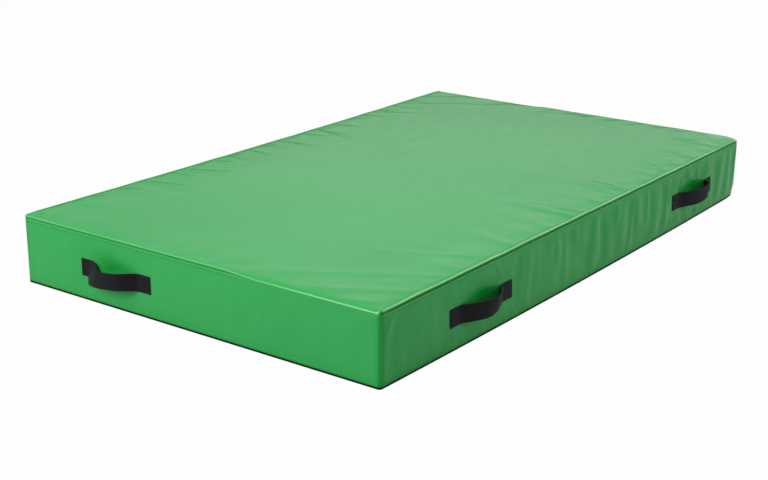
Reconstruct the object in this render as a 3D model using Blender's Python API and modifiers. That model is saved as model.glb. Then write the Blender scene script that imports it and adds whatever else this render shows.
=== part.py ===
"""Gymnastics crash mat: two foam layers in a zipped green cover with a black non-slip base
and six webbing carrying handles. Metres, +Z up, the front (a short side) towards -Y.
The origin is on the floor, under the middle of the mat."""

import math

import bmesh
import bpy
from mathutils import Matrix, Vector

# Overall size of the mat
LENGTH = 2.000
WIDTH = 1.200
EDGE_HEIGHT = 0.192
CROWN = 0.008
CROWN_POWER = 2
SIDE_SWELL = 0.010

# Radius of each upright corner, by the side of X and of Y that it is on
CORNER_RADII = {
    (1, -1): 0.009,
    (1, 1): 0.026,
    (-1, -1): 0.012,
    (-1, 1): 0.018,
}
CORNER_STEPS = 5
ROUND_STEPS = 3
CUTS_ACROSS = 12
CUTS_ALONG = 18
CUTS_UP = 3
SLOPE_STEP = 0.010

# Cover, base and foam
CLEARANCE = 0.0003
COVER_THICKNESS = 0.001
TOP_ROUND = 0.005
TOP_RIM = 0.008
BASE_THICKNESS = 0.001
BASE_ROUND = 0.0035
BASE_RIM = 0.0045
LANDING_SHEET = 0.025
LINING_THICKNESS = 0.0008

# Webbing handles
WEBBING_WIDTH = 0.050
WEBBING_THICKNESS = 0.002
SEWN_END = 0.042
FLAT_LEAD = 0.003
LOOP_STEPS = 24
PATCH_MARGIN = 0.010

# Short sides: one handle each, its middle measured from the left corner seen from outside
SHORT_SIDE_PLACE = 0.350
SHORT_SIDE_HEIGHT = 0.092
SHORT_SIDE_SPAN = 0.168
SHORT_SIDE_BOW = 0.041
SHORT_SIDE_DROOP = math.radians(5)
SHORT_SIDE_FULLNESS = 2.7

# Long sides: two handles each, measured from the left and from the right corner
LONG_SIDE_LEFT_PLACE = 0.417
LONG_SIDE_RIGHT_PLACE = 0.364
LONG_SIDE_HEIGHT = 0.087
LONG_SIDE_SPAN = 0.196
LONG_SIDE_BOW = 0.030
LONG_SIDE_DROOP = math.radians(13)
LONG_SIDE_FULLNESS = 3.2

# Zip, low on the rear side
ZIP_HEIGHT = 0.030
ZIP_TO_CORNER = 0.060
TAPE_WIDTH = 0.016
TAPE_TAIL = 0.010
TEETH_WIDTH = 0.0045
TEETH_THICKNESS = 0.0025
TEETH_SLIT = 0.0017
STOP_LENGTH = 0.005
SLOT_MARGIN = 0.0012
SLIDER_LENGTH = 0.024
SLIDER_WALL = 0.0015
SLIDER_POST_LENGTH = 0.008
SLIDER_PLAY = 0.0005
BRIDGE_LENGTH = 0.009
BRIDGE_WIDTH = 0.0036
BRIDGE_WALL = 0.0015
PULLER_LENGTH = 0.032
PULLER_WIDTH = 0.009
PULLER_THICKNESS = 0.0018
PULLER_EYE = 0.009
BAR_STEPS = 12

GREEN = (0.045, 0.37, 0.10, 1)
BLACK = (0.012, 0.012, 0.014, 1)
BASE_BLACK = (0.018, 0.018, 0.018, 1)
SOFT_FOAM = (0.62, 0.60, 0.52, 1)
FIRM_FOAM = (0.20, 0.28, 0.42, 1)
STEEL = (0.55, 0.55, 0.56, 1)

for old in list(bpy.data.objects):
    bpy.data.objects.remove(old, do_unlink=True)

mat_parts = bpy.data.collections.new("crash_mat")
cutters = bpy.data.collections.new("cutters")
bpy.context.scene.collection.children.link(mat_parts)
bpy.context.scene.collection.children.link(cutters)


def material(name, colour, roughness, metallic=0.0):
    finish = bpy.data.materials.new(name)
    finish.use_nodes = True
    shader = finish.node_tree.nodes["Principled BSDF"]
    shader.inputs["Base Color"].default_value = colour
    shader.inputs["Roughness"].default_value = roughness
    shader.inputs["Metallic"].default_value = metallic
    return finish


def add_part(name, shape, finish):
    """Makes a named object of a bmesh, with a material of its own."""
    mesh = bpy.data.meshes.new(name)
    shape.to_mesh(mesh)
    shape.free()
    part = bpy.data.objects.new(name, mesh)
    part.data.materials.append(material(name, *finish))
    mat_parts.objects.link(part)
    return part


def add_cutter(name, shape):
    mesh = bpy.data.meshes.new(name)
    shape.to_mesh(mesh)
    shape.free()
    cutter = bpy.data.objects.new(name, mesh)
    cutter.hide_render = True
    cutter.display_type = "WIRE"
    cutters.objects.link(cutter)
    return cutter


def combine(part, other, operation):
    boolean = part.modifiers.new(other.name, "BOOLEAN")
    boolean.operation = operation
    boolean.solver = "EXACT"
    boolean.object = other


def cut(part, cutter):
    combine(part, cutter, "DIFFERENCE")


def unite(part, other):
    combine(part, other, "UNION")


def box(low, high):
    """A box between two corners, as a bmesh."""
    low = Vector(low)
    high = Vector(high)
    shape = bmesh.new()
    place = Matrix.Translation((low + high) / 2) @ Matrix.Diagonal((*(high - low), 1))
    bmesh.ops.create_cube(shape, size=1, matrix=place)
    return shape


# The padded shape that the cover and the foam share


def shaped(point):
    """Where a point of the plain block lies on the mat, with its crown and swollen long sides."""
    across = min(abs(point.x) / (WIDTH / 2), 1)
    along = min(abs(point.y) / (LENGTH / 2), 1)
    up = point.z / EDGE_HEIGHT
    swell = SIDE_SWELL * (1 - along**2) * (1 - up)
    crown = CROWN * (1 - across**CROWN_POWER) * (1 - along**CROWN_POWER)
    return Vector((point.x * (1 + swell / (WIDTH / 2)), point.y, point.z + crown * up))


def round_rim(shape, height, radius):
    """Rounds the edge between the flat face at this height and the sides."""
    rim = []
    for edge in shape.edges:
        level = all(abs(vert.co.z - height) < 1e-6 for vert in edge.verts)
        if level and any(abs(face.normal.z) < 0.5 for face in edge.link_faces):
            rim.append(edge)
    bmesh.ops.bevel(shape, geom=rim, offset=radius, segments=ROUND_STEPS, profile=0.5, affect="EDGES")


def plain_block(inset, bottom, top, top_round=0, base_round=0):
    """A block of the mat's plan, smaller by an inset, with its corners and rims rounded."""
    half_width = WIDTH / 2 - inset
    half_length = LENGTH / 2 - inset
    shape = box((-half_width, -half_length, bottom), (half_width, half_length, top))
    for (side_x, side_y), radius in CORNER_RADII.items():
        upright = []
        for edge in shape.edges:
            if all(vert.co.x * side_x > half_width - 1e-6 for vert in edge.verts):
                if all(vert.co.y * side_y > half_length - 1e-6 for vert in edge.verts):
                    upright.append(edge)
        bmesh.ops.bevel(
            shape, geom=upright, offset=radius - inset, segments=CORNER_STEPS, profile=0.5, affect="EDGES"
        )
    shape.normal_update()
    if top_round:
        round_rim(shape, top, top_round)
    if base_round:
        shape.normal_update()
        round_rim(shape, bottom, base_round)
    return shape


def slice_at(shape, point, normal, clear=False):
    every = shape.verts[:] + shape.edges[:] + shape.faces[:]
    bmesh.ops.bisect_plane(
        shape, geom=every, dist=1e-7, plane_co=point, plane_no=normal, clear_outer=clear
    )


def merge_flat_underside(shape):
    """Joins the level faces at the bottom into one."""
    lowest = min(vert.co.z for vert in shape.verts)
    inside = []
    for edge in shape.edges:
        corners = [vert for face in edge.link_faces for vert in face.verts]
        if len(edge.link_faces) == 2 and all(vert.co.z - lowest < 1e-7 for vert in corners):
            inside.append(edge)
    bmesh.ops.dissolve_edges(shape, edges=inside, use_verts=True)


def pad(shape):
    """Divides a plain block into a grid and gives it the mat's padded shape."""
    for step in range(1, CUTS_ACROSS):
        slice_at(shape, (WIDTH * (step / CUTS_ACROSS - 0.5), 0, 0), (1, 0, 0))
    for step in range(1, CUTS_ALONG):
        slice_at(shape, (0, LENGTH * (step / CUTS_ALONG - 0.5), 0), (0, 1, 0))
    for step in range(1, CUTS_UP):
        slice_at(shape, (0, 0, EDGE_HEIGHT * step / CUTS_UP), (0, 0, 1))
    for vert in shape.verts:
        vert.co = shaped(vert.co)
    merge_flat_underside(shape)
    bmesh.ops.triangulate(shape, faces=shape.faces[:], quad_method="SHORT_EDGE", ngon_method="BEAUTY")
    return shape


def wall(name, inset, limits, thickness, finish):
    """A thin wall that follows the mat's outside at an inset, and lies within some planes.
    Each limit is a point and a normal, and what lies beyond it on the normal's side is cut off."""
    shape = plain_block(inset, inset, EDGE_HEIGHT - inset, TOP_ROUND - inset, BASE_ROUND - inset)
    for point, normal in limits:
        slice_at(shape, point, normal, clear=True)
    part = add_part(name, pad(shape), finish)
    depth = part.modifiers.new("wall", "SOLIDIFY")
    depth.thickness = thickness
    depth.offset = -1
    depth.use_even_offset = True
    return part


def corner_limit(side_x, side_y, long_side):
    """The upright plane of a corner seam, as the limit of the long or of the short side's panel."""
    radius = CORNER_RADII[side_x, side_y]
    middle = Vector((side_x * (WIDTH / 2 - radius), side_y * (LENGTH / 2 - radius), 0))
    towards_long = Vector((side_x, -side_y, 0)).normalized()
    if long_side:
        return middle + towards_long * CLEARANCE / 2, -towards_long
    return middle - towards_long * CLEARANCE / 2, towards_long


# Cover and base

UP = Vector((0, 0, 1))
cover_finish = (GREEN, 0.32)
rim_level = UP * (EDGE_HEIGHT - TOP_RIM)
base_level = UP * BASE_RIM
side_limits = [(rim_level - UP * CLEARANCE, UP), (base_level + UP * CLEARANCE, -UP)]

wall("cover_top", 0, [(rim_level, -UP)], COVER_THICKNESS, cover_finish)
wall("non_slip_base", 0, [(base_level, UP)], BASE_THICKNESS, (BASE_BLACK, 0.8))
for name, side_y in (("cover_front", -1), ("cover_rear", 1)):
    seams = [corner_limit(side_x, side_y, False) for side_x in (-1, 1)]
    wall(name, 0, side_limits + seams, COVER_THICKNESS, cover_finish)
for name, side_x in (("cover_left", -1), ("cover_right", 1)):
    seams = [corner_limit(side_x, side_y, True) for side_y in (-1, 1)]
    wall(name, 0, side_limits + seams, COVER_THICKNESS, cover_finish)

# Foam. The lining is what lies between it and the cover's sides: backing patches and zip tapes

lining_front = COVER_THICKNESS + CLEARANCE
lining_back = lining_front + LINING_THICKNESS
foam_inset = lining_back + CLEARANCE
sheet_top = EDGE_HEIGHT - COVER_THICKNESS - CLEARANCE
sheet_bottom = sheet_top - LANDING_SHEET
core_bottom = BASE_THICKNESS + CLEARANCE
core_top = sheet_bottom - CLEARANCE
core = plain_block(foam_inset, core_bottom, core_top, base_round=BASE_ROUND - foam_inset)
foam_core = add_part("foam_core", pad(core), (SOFT_FOAM, 0.95))
sheet = plain_block(foam_inset, sheet_bottom, sheet_top, top_round=TOP_ROUND - foam_inset)
add_part("foam_landing_sheet", pad(sheet), (FIRM_FOAM, 0.9))

# Handles


def face_frame(turn, along, height):
    """A frame on the outside of a side: X to the right along it, -Y out of it, Z up it.
    The turn is 0 for the front, then quarter turns for the right, rear and left sides."""
    distance = WIDTH / 2 if turn % 2 else LENGTH / 2
    spin = Matrix.Rotation(turn * math.pi / 2, 3, "Z")

    def on_face(right, up):
        return shaped(spin @ Vector((along + right, -distance, height + up)))

    right = (on_face(SLOPE_STEP, 0) - on_face(-SLOPE_STEP, 0)).normalized()
    up = (on_face(0, SLOPE_STEP) - on_face(0, -SLOPE_STEP)).normalized()
    inward = up.cross(right).normalized()
    up = right.cross(inward)
    axes = Matrix((right, inward, up)).transposed()
    return Matrix.Translation(on_face(0, 0)) @ axes.to_4x4()


def webbing_loop(span, bow, droop, fullness):
    """The free part of a strap, from its upper edge's middle: a ribbon bowed out to -Y,
    flat on the side for a short lead at each end, and leaning as it droops."""
    ribbon = bmesh.new()
    bmesh.ops.create_grid(ribbon, x_segments=LOOP_STEPS, y_segments=1, size=0.5)
    arch = span - CLEARANCE - 2 * FLAT_LEAD
    for vert in ribbon.verts:
        step = round((vert.co.x + 0.5) * LOOP_STEPS)
        if step in (0, LOOP_STEPS):
            along = math.copysign(arch / 2 + FLAT_LEAD, vert.co.x)
            out = 0
        else:
            share = math.cos(math.pi * (step - 1) / (LOOP_STEPS - 2))
            along = -share * arch / 2
            out = bow * (1 - abs(share) ** fullness)
        lean = droop * out / bow
        side = math.copysign(WEBBING_WIDTH / 2, vert.co.y)
        reach = out * math.cos(lean) + side * math.sin(lean)
        height = side * math.cos(lean) - out * math.sin(lean) - WEBBING_WIDTH / 2
        vert.co = Vector((along, -reach, height))
    return ribbon


def side_limits_of(turn, left, right, bottom, top):
    """The planes round an area of one side, which also cut away the rest of the mat."""
    spin = Matrix.Rotation(turn * math.pi / 2, 3, "Z")
    rightwards = spin @ Vector((1, 0, 0))
    inward = spin @ Vector((0, 1, 0))
    return [
        (rightwards * right, rightwards),
        (rightwards * left, -rightwards),
        (UP * top, UP),
        (UP * bottom, -UP),
        (Vector(), inward),
    ]


def add_handle(name, turn, along, height, span, bow, droop, fullness):
    """A strap's loop on its hinge, its two sewn ends, and the patch behind them in the cover."""
    webbing_finish = (BLACK, 0.75)
    bottom = height - WEBBING_WIDTH / 2
    top = height + WEBBING_WIDTH / 2
    outside = -CLEARANCE - WEBBING_THICKNESS
    reach = span / 2 + SEWN_END
    inner = (span + CLEARANCE) / 2
    for end, left, right in (("left", -reach, -inner), ("right", inner, reach)):
        limits = side_limits_of(turn, along + left, along + right, bottom, top)
        wall(f"{name}_{end}_end", outside, limits, WEBBING_THICKNESS, webbing_finish)

    patch_reach = reach + PATCH_MARGIN
    limits = side_limits_of(
        turn, along - patch_reach, along + patch_reach, bottom - PATCH_MARGIN, top + PATCH_MARGIN
    )
    wall(name + "_backing_patch", lining_front, limits, LINING_THICKNESS, (BLACK, 0.8))

    hinge = bpy.data.objects.new(name + "_hinge", None)
    middle_of_strap = Matrix.Translation((0, -CLEARANCE - WEBBING_THICKNESS / 2, WEBBING_WIDTH / 2))
    hinge.matrix_world = face_frame(turn, along, height) @ middle_of_strap
    mat_parts.objects.link(hinge)
    loop = add_part(name + "_loop", webbing_loop(span, bow, droop, fullness), webbing_finish)
    loop.parent = hinge
    strap = loop.modifiers.new("strap", "SOLIDIFY")
    strap.thickness = WEBBING_THICKNESS
    strap.offset = 0
    strap.use_even_offset = True

    bpy.context.view_layer.update()
    point = hinge.matrix_world.translation
    axis = -hinge.matrix_world.col[0].to_3d()
    print(f"{name}: hinge at {tuple(round(v, 6) for v in point)} axis {tuple(round(v, 6) for v in axis)}")


short_side = (SHORT_SIDE_SPAN, SHORT_SIDE_BOW, SHORT_SIDE_DROOP, SHORT_SIDE_FULLNESS)
long_side = (LONG_SIDE_SPAN, LONG_SIDE_BOW, LONG_SIDE_DROOP, LONG_SIDE_FULLNESS)
short_place = SHORT_SIDE_PLACE - WIDTH / 2
left_place = LONG_SIDE_LEFT_PLACE - LENGTH / 2
right_place = LENGTH / 2 - LONG_SIDE_RIGHT_PLACE
add_handle("front_handle", 0, short_place, SHORT_SIDE_HEIGHT, *short_side)
add_handle("right_front_handle", 1, left_place, LONG_SIDE_HEIGHT, *long_side)
add_handle("right_rear_handle", 1, right_place, LONG_SIDE_HEIGHT, *long_side)
add_handle("rear_handle", 2, short_place, SHORT_SIDE_HEIGHT, *short_side)
add_handle("left_rear_handle", 3, left_place, LONG_SIDE_HEIGHT, *long_side)
add_handle("left_front_handle", 3, right_place, LONG_SIDE_HEIGHT, *long_side)

# Zip. In its frame the closed end is at +X, -Y points out of the mat, and 0 is the cover's outside

zip_place = bpy.data.objects.new("zip_place", None)
zip_place.matrix_world = face_frame(2, 0, ZIP_HEIGHT)
mat_parts.objects.link(zip_place)
black_finish = (BLACK, 0.7)
steel_finish = (STEEL, 0.35, 1.0)

teeth_back = lining_front - CLEARANCE
teeth_front = teeth_back - TEETH_THICKNESS
row_inner = TEETH_SLIT / 2
row_outer = row_inner + TEETH_WIDTH
half_chain = WIDTH / 2 - ZIP_TO_CORNER
half_tape = half_chain + STOP_LENGTH + TAPE_TAIL

channel_side = row_outer + CLEARANCE
slider_side = channel_side + SLIDER_WALL
channel_back = lining_back + CLEARANCE
slider_back = channel_back + SLIDER_WALL
channel_front = teeth_front - CLEARANCE
slider_front = channel_front - SLIDER_WALL
slot_side = slider_side + SLOT_MARGIN


def on_zip(part):
    part.parent = zip_place
    return part


for name, side in (("upper", 1), ("lower", -1)):
    heights = sorted((side * row_inner, side * (row_inner + TAPE_WIDTH)))
    low = (-half_tape, lining_front, heights[0])
    high = (half_tape, lining_back, heights[1])
    on_zip(add_part(f"zip_{name}_tape", box(low, high), black_finish))
    heights = sorted((side * row_inner, side * row_outer))
    low = (-half_chain, teeth_front, heights[0])
    high = (half_chain, teeth_back, heights[1])
    on_zip(add_part(f"zip_{name}_teeth", box(low, high), black_finish))

for name, side in (("closed", 1), ("open", -1)):
    ends = sorted((side * (half_chain + CLEARANCE), side * (half_chain + STOP_LENGTH)))
    low = (ends[0], teeth_front, -row_outer)
    high = (ends[1], teeth_back, row_outer)
    on_zip(add_part(f"zip_{name}_end_stop", box(low, high), steel_finish))

slot_end = half_chain + STOP_LENGTH + SLOT_MARGIN
slot_shape = box((-slot_end, -COVER_THICKNESS, -slot_side), (slot_end, 2 * COVER_THICKNESS, slot_side))
slot = on_zip(add_cutter("zip_slot", slot_shape))
cut(bpy.data.objects["cover_rear"], slot)

groove_end = half_tape + CLEARANCE
groove_side = row_inner + TAPE_WIDTH + CLEARANCE
groove_shape = box(
    (-groove_end, -COVER_THICKNESS, -groove_side), (groove_end, slider_back + CLEARANCE, groove_side)
)
groove = on_zip(add_cutter("zip_groove", groove_shape))
cut(foam_core, groove)

# Slider, closed at rest. Its post runs in the slit between the rows, ahead of the joined teeth

slider_end = half_chain - SLIDER_PLAY
slider_middle = slider_end - SLIDER_LENGTH / 2
slider_place = bpy.data.objects.new("zip_slider_place", None)
slider_place.parent = zip_place
slider_place.location = (slider_middle, 0, 0)
mat_parts.objects.link(slider_place)

half_slider = SLIDER_LENGTH / 2
slider_shape = box((-half_slider, slider_front, -slider_side), (half_slider, slider_back, slider_side))
slider = add_part("zip_slider", slider_shape, steel_finish)
slider.parent = slider_place

post_side = row_inner - CLEARANCE
past_end = half_slider + SLIDER_WALL
post_start = half_slider - SLIDER_POST_LENGTH
for name, side in (("upper", 1), ("lower", -1)):
    heights = sorted((side * post_side, side * channel_side))
    low = (-past_end, channel_front, heights[0])
    high = (past_end, channel_back, heights[1])
    channel = add_cutter(f"slider_{name}_channel", box(low, high))
    channel.parent = slider_place
    cut(slider, channel)
    heights = sorted((side * post_side, side * (slider_side + SLIDER_WALL)))
    low = (-past_end, lining_front - CLEARANCE, heights[0])
    high = (past_end, channel_back, heights[1])
    tape_slot = add_cutter(f"slider_{name}_tape_slot", box(low, high))
    tape_slot.parent = slider_place
    cut(slider, tape_slot)
behind_post = add_cutter(
    "slider_behind_post",
    box((-past_end, channel_front, -channel_side), (post_start, channel_back, channel_side)),
)
behind_post.parent = slider_place
cut(slider, behind_post)

# Bridge on the slider, with the puller's bar under it

bar_radius = PULLER_THICKNESS / 2
bar_out = slider_front - CLEARANCE - bar_radius
bridge_under = bar_out - bar_radius - CLEARANCE
bridge_front = bridge_under - BRIDGE_WALL
half_bridge = BRIDGE_LENGTH / 2
bridge_shape = box(
    (-half_bridge, bridge_front, -BRIDGE_WIDTH / 2),
    (half_bridge, slider_front + SLIDER_WALL / 2, BRIDGE_WIDTH / 2),
)
bridge = add_cutter("slider_bridge", bridge_shape)
bridge.parent = slider_place
unite(slider, bridge)
half_arch = half_bridge - BRIDGE_WALL
arch = add_cutter(
    "slider_bridge_arch",
    box((-half_arch, bridge_under, -BRIDGE_WIDTH), (half_arch, slider_front, BRIDGE_WIDTH)),
)
arch.parent = slider_place
cut(slider, arch)

puller_hinge = bpy.data.objects.new("zip_puller_hinge", None)
puller_hinge.parent = slider_place
puller_hinge.location = (0, bar_out, 0)
mat_parts.objects.link(puller_hinge)
half_puller = PULLER_WIDTH / 2
puller = add_part(
    "zip_puller",
    box((-PULLER_LENGTH, -bar_radius, -half_puller), (0, bar_radius, half_puller)),
    steel_finish,
)
puller.parent = puller_hinge
half_eye = BRIDGE_WIDTH / 2 + CLEARANCE
eye = add_cutter(
    "puller_eye",
    box(
        (-bar_radius - PULLER_EYE, -PULLER_THICKNESS, -half_eye),
        (PULLER_THICKNESS, PULLER_THICKNESS, half_eye),
    ),
)
eye.parent = puller_hinge
cut(puller, eye)
bar = bmesh.new()
bmesh.ops.create_cone(
    bar, cap_ends=True, segments=BAR_STEPS, radius1=bar_radius, radius2=bar_radius, depth=PULLER_WIDTH
)
bar_end = add_cutter("puller_bar", bar)
bar_end.parent = puller_hinge
unite(puller, bar_end)

bpy.context.view_layer.update()
travel = 2 * (half_chain - SLIDER_PLAY) - SLIDER_LENGTH
along_zip = zip_place.matrix_world.col[0].to_3d()
puller_point = puller_hinge.matrix_world.translation
print(f"zip: travel {travel:.4f} along {tuple(round(-v, 6) for v in along_zip)}")
print(f"puller: hinge at {tuple(round(v, 6) for v in puller_point)}")
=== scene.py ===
# %% [markdown]
# # Crash mat
#
# A gymnastics crash mat is a block of foam in a zipped cover. The cover is cloth coated with soft PVC, sewn
# from five panels, with a black non-slip base under it and webbing handles on its sides. The solids of the
# mat are already packed. This lesson dresses them: it sews a puckered cover, runs the webbing, fills the zip
# with teeth, and gives every piece a finish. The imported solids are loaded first, because all sizes come from
# them.

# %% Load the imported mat
import contextlib
import math

import bpy
import numpy as np
from mathutils import Matrix, Vector


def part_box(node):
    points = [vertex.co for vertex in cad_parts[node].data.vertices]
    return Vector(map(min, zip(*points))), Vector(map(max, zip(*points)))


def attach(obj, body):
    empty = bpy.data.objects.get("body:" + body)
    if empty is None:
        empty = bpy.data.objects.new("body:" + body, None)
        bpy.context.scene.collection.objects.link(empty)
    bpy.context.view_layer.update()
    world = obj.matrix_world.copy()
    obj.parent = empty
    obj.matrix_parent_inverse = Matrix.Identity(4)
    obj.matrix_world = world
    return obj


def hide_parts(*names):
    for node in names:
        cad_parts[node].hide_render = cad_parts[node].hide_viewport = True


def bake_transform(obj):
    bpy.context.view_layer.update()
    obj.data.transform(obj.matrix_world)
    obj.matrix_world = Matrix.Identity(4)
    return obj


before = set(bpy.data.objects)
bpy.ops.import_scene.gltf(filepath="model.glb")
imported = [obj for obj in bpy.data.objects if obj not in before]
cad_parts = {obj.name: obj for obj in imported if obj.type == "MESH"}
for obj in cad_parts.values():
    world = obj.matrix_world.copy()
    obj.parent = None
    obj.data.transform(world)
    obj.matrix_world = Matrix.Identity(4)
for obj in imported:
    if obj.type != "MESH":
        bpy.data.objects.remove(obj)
bpy.ops.object.select_all(action="DESELECT")
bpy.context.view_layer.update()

# %% [markdown]
# ## The camera
#
# The camera stands where the photographer stood: in front of the short side, a little to the right and
# above. Three angles and one place fix it. Its matrix is put together from the three directions that it
# faces, because that keeps the small roll of the picture apart from the turn and the tilt.

# %% Camera
TURN_LEFT = math.radians(36.149)
TILT_DOWN = math.radians(18.25)
ROLL = math.radians(0.417)
CAMERA_PLACE = Vector((2.3502, -3.3855, 1.3362))
FOCAL_LENGTH_MM = 66.64


def frame_at(place, x_axis, y_axis, z_axis):
    """The matrix of a frame at a place, with its three axes."""
    return Matrix.Translation(place) @ Matrix((x_axis, y_axis, z_axis)).transposed().to_4x4()


ahead = Vector((-math.sin(TURN_LEFT), math.cos(TURN_LEFT), 0)) * math.cos(TILT_DOWN)
ahead.z = -math.sin(TILT_DOWN)
level_right = Vector((math.cos(TURN_LEFT), math.sin(TURN_LEFT), 0))
level_up = level_right.cross(ahead)
right = level_right * math.cos(ROLL) + level_up * math.sin(ROLL)
up = level_up * math.cos(ROLL) - level_right * math.sin(ROLL)

camera = bpy.data.objects.new("camera", bpy.data.cameras.new("camera"))
camera.data.lens = FOCAL_LENGTH_MM
camera.matrix_world = frame_at(CAMERA_PLACE, right, up, -ahead)
bpy.context.scene.collection.objects.link(camera)
bpy.context.scene.camera = camera
bpy.context.scene.view_settings.view_transform = "Standard"
print("camera looks along", tuple(round(part, 3) for part in ahead))

# %% [markdown]
# ## Small helpers
#
# A modelling operator works on whatever is selected, so most steps begin by selecting one piece alone. A
# modifier is applied as soon as it is set, which leaves a plain mesh. Points are moved in bulk with numpy,
# which is the quickest way to shape a mesh by a rule. Most of those rules are built from two curves: a soft
# step and a bell.


# %% Selecting, editing and applying
def take(piece):
    """Selects this piece alone, as the active one."""
    bpy.ops.object.select_all(action="DESELECT")
    piece.select_set(True)
    bpy.context.view_layer.objects.active = piece
    return piece


@contextlib.contextmanager
def editing(piece):
    """Edit mode on this piece alone, with all of it selected."""
    take(piece)
    bpy.ops.object.mode_set(mode="EDIT")
    bpy.ops.mesh.select_all(action="SELECT")
    yield
    bpy.ops.object.mode_set(mode="OBJECT")


def apply_modifier(piece, kind, **settings):
    take(piece)
    modifier = piece.modifiers.new(kind.lower(), kind)
    for setting, value in settings.items():
        setattr(modifier, setting, value)
    bpy.ops.object.modifier_apply(modifier=modifier.name)


def bevel(piece, width, segments, angle):
    """Rounds the edges that turn by more than an angle in degrees."""
    limit = {"limit_method": "ANGLE", "angle_limit": math.radians(angle)}
    apply_modifier(piece, "BEVEL", width=width, segments=segments, **limit)


def shade_smooth(piece, angle=180):
    take(piece)
    if angle == 180:
        bpy.ops.object.shade_smooth()
    else:
        bpy.ops.object.shade_smooth_by_angle(angle=math.radians(angle))


def named(piece, name):
    piece.name = name
    piece.data.name = name
    return piece


# %% Points and curves
def points_of(mesh):
    points = np.empty(len(mesh.vertices) * 3)
    mesh.vertices.foreach_get("co", points)
    return points.reshape(-1, 3)


def move_points(mesh, points):
    mesh.vertices.foreach_set("co", np.ascontiguousarray(points).ravel())
    mesh.update()


def put_in_frame(points, matrix):
    matrix = np.array(matrix)
    return points @ matrix[:3, :3].T + matrix[:3, 3]


def grid_index(coordinate, count):
    """Which row of a grid 2 m wide each coordinate is in."""
    return np.rint((coordinate + 1) / 2 * (count - 1)).astype(int)


def smooth(start, end, value):
    """Rises softly from 0 at the start to 1 at the end."""
    share = np.clip((value - start) / (end - start), 0, 1)
    return share * share * (3 - 2 * share)


def bell(value, middle, width):
    return np.exp(-(((value - middle) / width) ** 2))


print("halfway up a soft step:", smooth(0, 1, 0.5))
print("one width off the middle of a bell:", round(float(bell(1, 0, 1)), 3))

# %% [markdown]
# ## Shader helpers
#
# A finish is a small graph of nodes. Writing it out link by link is long, so one helper adds a node, sets
# its options and joins its inputs. An effect that several finishes share, such as weave or grain, becomes a
# node group with named inputs and outputs, and each finish places it with its own values.


# %% Nodes and groups
def fill(tree, socket, value):
    """Sets an input to a value, or joins it to the output socket that feeds it."""
    if isinstance(value, bpy.types.NodeSocket):
        tree.links.new(value, socket)
    else:
        socket.default_value = value


def add_node(tree, kind, inputs=(), **options):
    node = tree.nodes.new(kind)
    for option, value in options.items():
        setattr(node, option, value)
    for name, value in dict(inputs).items():
        fill(tree, node.inputs[name], value)
    return node


def add_math(tree, operation, first, second=0.0):
    return add_node(tree, "ShaderNodeMath", {0: first, 1: second}, operation=operation).outputs[0]


def ranged(tree, value, low, high, start=0.0, end=1.0):
    """A value that goes from low to high as another goes from start to end."""
    return add_node(tree, "ShaderNodeMapRange", {0: value, 1: start, 2: end, 3: low, 4: high}).outputs[0]


def colour_between(tree, share, first, second):
    return add_node(tree, "ShaderNodeMix", {0: share, 6: first, 7: second}, data_type="RGBA").outputs[2]


def object_points(tree):
    return add_node(tree, "ShaderNodeTexCoord").outputs["Object"]


def new_group(name, inputs, outputs):
    """A shader node group. Inputs are names, kinds and usual values, and outputs are names and kinds."""
    group = bpy.data.node_groups.new(name, "ShaderNodeTree")
    for label, kind, usual in inputs:
        socket = group.interface.new_socket(label, in_out="INPUT", socket_type="NodeSocket" + kind)
        socket.default_value = usual
    for label, kind in outputs:
        group.interface.new_socket(label, in_out="OUTPUT", socket_type="NodeSocket" + kind)
    return group, group.nodes.new("NodeGroupInput").outputs, group.nodes.new("NodeGroupOutput").inputs


def place_group(tree, group, **inputs):
    node = add_node(tree, "ShaderNodeGroup", node_tree=group)
    for label, value in inputs.items():
        fill(tree, node.inputs[label.replace("_", " ").title()], value)
    return node.outputs


# %% Finishes
def feed(tree, label, value):
    """Sets or joins an input of the finish's shader."""
    fill(tree, tree.nodes["Principled BSDF"].inputs[label], value)


def new_finish(name, **constants):
    """A material and its node tree, with the shader's constant values set."""
    finish = bpy.data.materials.new(name)
    finish.use_nodes = True
    for label, value in constants.items():
        feed(finish.node_tree, label.replace("_", " ").title().replace("Ior", "IOR"), value)
    return finish, finish.node_tree


def add_relief(tree, height, depth):
    """Feeds a height, with a depth in metres, to the shader's normal."""
    feed(tree, "Normal", add_node(tree, "ShaderNodeBump", {"Height": height, "Distance": depth}).outputs[0])


# %% Shared effects
NO_PLACE = (0.0, 0.0, 0.0)

mottle, given, put_out = new_group(
    "mottle",
    [
        ("Vector", "Vector", NO_PLACE),
        ("Patch Size", "Float", 0.1),
        ("Dark", "Color", (0, 0, 0, 1)),
        ("Light", "Color", (1, 1, 1, 1)),
    ],
    [("Color", "Color"), ("Mask", "Float")],
)
finer = add_math(mottle, "DIVIDE", 1.0, given["Patch Size"])
cloud = add_node(mottle, "ShaderNodeTexNoise", {"Vector": given["Vector"], "Scale": finer, "Detail": 4.0})
spread = ranged(mottle, cloud.outputs[0], 0.0, 1.0, 0.3, 0.7)
fill(mottle, put_out["Color"], colour_between(mottle, spread, given["Dark"], given["Light"]))
fill(mottle, put_out["Mask"], spread)

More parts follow.
